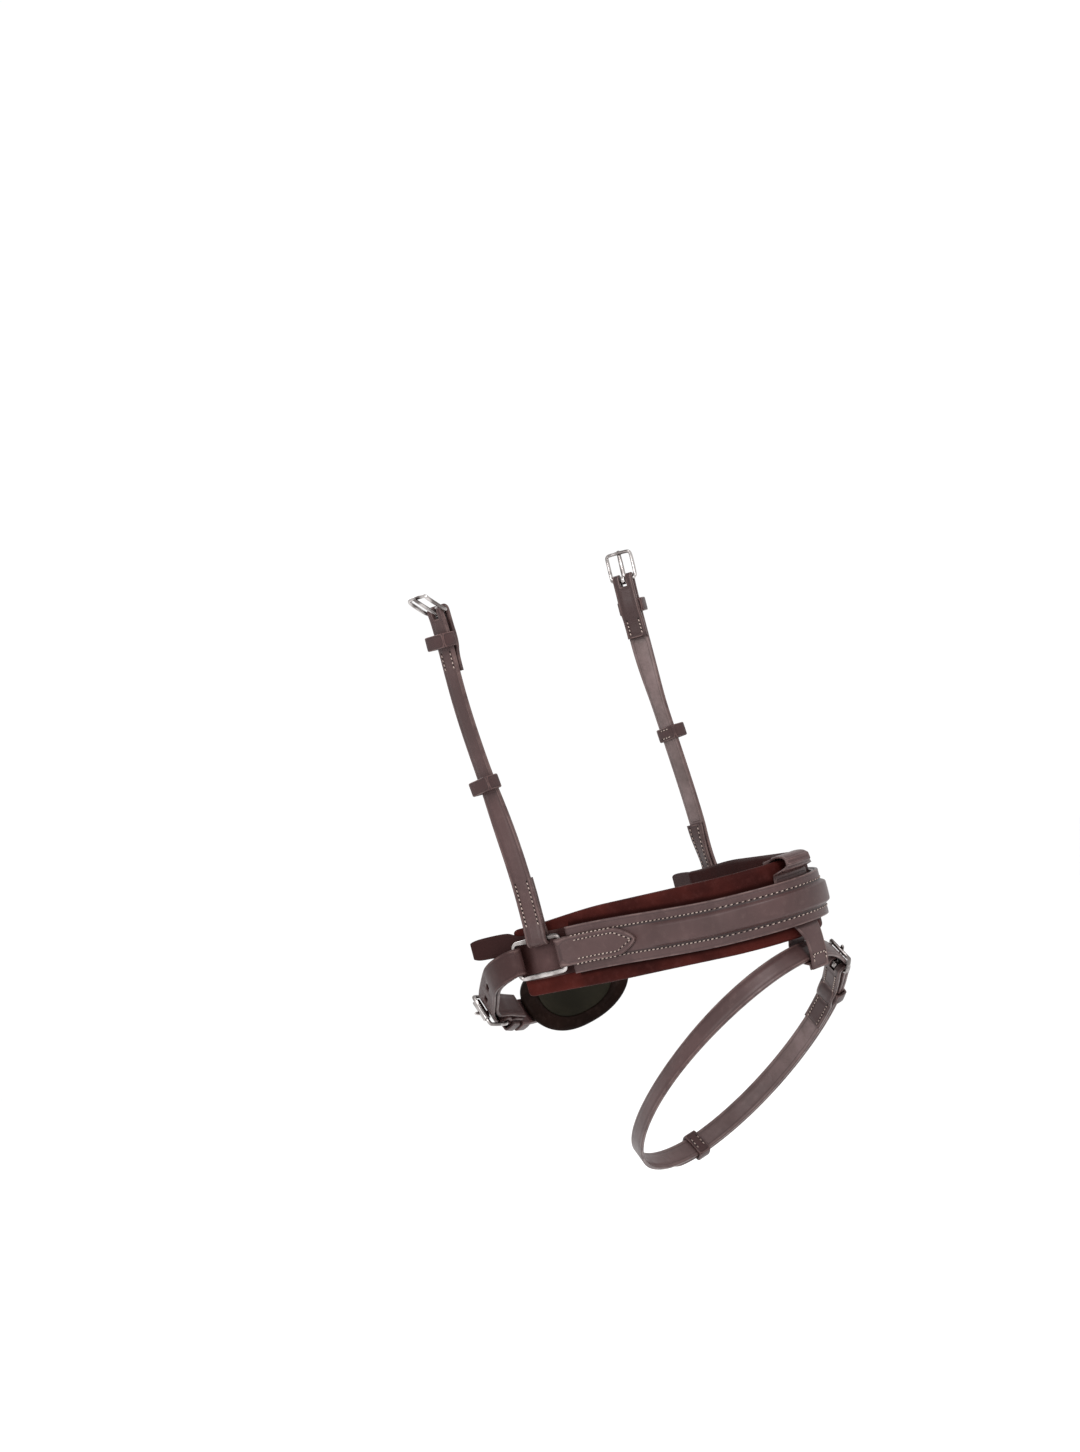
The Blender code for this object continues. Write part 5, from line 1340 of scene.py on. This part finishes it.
def add_floor():
    low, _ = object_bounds()
    level = low[2] - FLOOR_DROP
    verts = [(0.0, 0.0, level)]
    for k in range(FLOOR_SIDES):
        angle = 2 * math.pi * k / FLOOR_SIDES
        verts.append((FLOOR_REACH * math.cos(angle), FLOOR_REACH * math.sin(angle), level))
    faces = [(0, 1 + k, 1 + (k + 1) % FLOOR_SIDES) for k in range(FLOOR_SIDES)]
    mesh = bpy.data.meshes.new("floor")
    mesh.from_pydata(verts, [], faces)
    obj = add_object("floor", mesh)
    made = Finish("floor_finish")
    made.shader.inputs["Base Color"].default_value = opaque([FLOOR_ALBEDO] * 3)
    made.shader.inputs["Roughness"].default_value = FLOOR_ROUGHNESS
    mesh.materials.append(made.material)


def light_scene():
    world = bpy.data.worlds.new("studio")
    world.use_nodes = True
    back = world.node_tree.nodes["Background"]
    back.inputs["Color"].default_value = opaque([1.0] * 3)
    back.inputs["Strength"].default_value = WORLD_STRENGTH
    bpy.context.scene.world = world
    for name, (place, size, power) in LIGHTS.items():
        data = bpy.data.lights.new(name, "AREA")
        data.shape = "DISK"
        data.size = size
        data.energy = power
        obj = add_object(name, data)
        obj.location = place
        obj.rotation_euler = (LIGHT_AIM - Vector(place)).to_track_quat("-Z", "Y").to_euler()


def add_camera():
    """Camera that puts CAMERA_AIM on NOSE_PIXEL, seen from the fitted direction."""
    az, el, roll = CAMERA_AZIMUTH, CAMERA_ELEVATION, CAMERA_ROLL
    back = Vector((math.sin(az) * math.cos(el), -math.cos(az) * math.cos(el), math.sin(el)))
    right = Vector((0.0, 0.0, 1.0)).cross(back).normalized()
    up = back.cross(right)
    right, up = right * math.cos(roll) + up * math.sin(roll), up * math.cos(roll) - right * math.sin(roll)
    turn = Matrix((right, up, back)).transposed()
    x = (NOSE_PIXEL[0] - PHOTO_WIDTH / 2) / PHOTO_FOCAL
    y = -(NOSE_PIXEL[1] - PHOTO_HEIGHT / 2) / PHOTO_FOCAL
    ray = Vector((x, y, -1.0)).normalized()
    place = CAMERA_AIM - turn @ ray * CAMERA_DISTANCE
    data = bpy.data.cameras.new("photo_camera")
    data.sensor_width = SENSOR
    data.lens = PHOTO_FOCAL / PHOTO_HEIGHT * SENSOR
    data.clip_start = CLIP_START
    obj = add_object("photo_camera", data)
    obj.matrix_world = Matrix.Translation(place) @ turn.to_4x4()
    bpy.context.scene.camera = obj


def main():
    face = dress_face()
    dress_padding()
    dress_chin_pad()
    strap = dress("nose_strap", reshape=hang_lower)
    tab = dress("flash_tab", reshape=draw_in)
    dress("raise_filler", "dark_leather", levels=1)
    chin_strap = dress("chin_strap", "chin")
    billet = dress("crank_billet", "chin")
    flash_strap = dress("flash_strap", "strap")
    lap_end = FLASH_ROUND - FLASH_BUCKLE_AT - FLASH_LAP
    mark_flesh(flash_strap.data, FLASH, FLASH_ROUND, FLASH_FLESH_FROM, lap_end, FLASH_THICK, FLASH_FLESH_SHADE)
    for side in SIDES:
        dress_guard(side)
        hanger = dress("hanger_" + side, "strap")
        length = HANGER_LENGTH[side]
        course = hanger_course(side)
        mark_flesh(hanger.data, course, length, HANGER_LAP, length - HANGER_TOP_LAP, HANGER_THICK)
        sew_hanger(side, hanger, course, length)
        dress_band("hanger_keeper_" + side)
        sew_band(dress_band("hanger_runner_" + side), course, HANGER_RUNNER_AT, HANGER_ROW)
        dress_steel("hanger_buckle_%s_frame" % side, FRAME_SWELL)
        dress_steel("hanger_buckle_%s_tongue" % side, TONGUE_SWELL)
        dress_steel("ring_" + side, RING_SWELL)
    for node in ("crank_keeper", "crank_runner", "flash_keeper"):
        dress_band(node)
    sew_band(dress_band("flash_runner"), FLASH, FLASH_ROUND - FLASH_RUNNER_AT, FLASH_ROW)
    for prefix in ("crank_buckle", "flash_buckle"):
        dress_steel(prefix + "_frame", FRAME_SWELL)
        dress_steel(prefix + "_tongue", TONGUE_SWELL)
    dress("crank_buckle_roller", "steel")
    sew_nosepiece(face, strap, tab)
    sew_chin(chin_strap, billet)
    sew_flash(flash_strap)
    add_floor()
    light_scene()
    add_camera()
    bpy.context.scene.view_settings.view_transform = "Standard"


main()
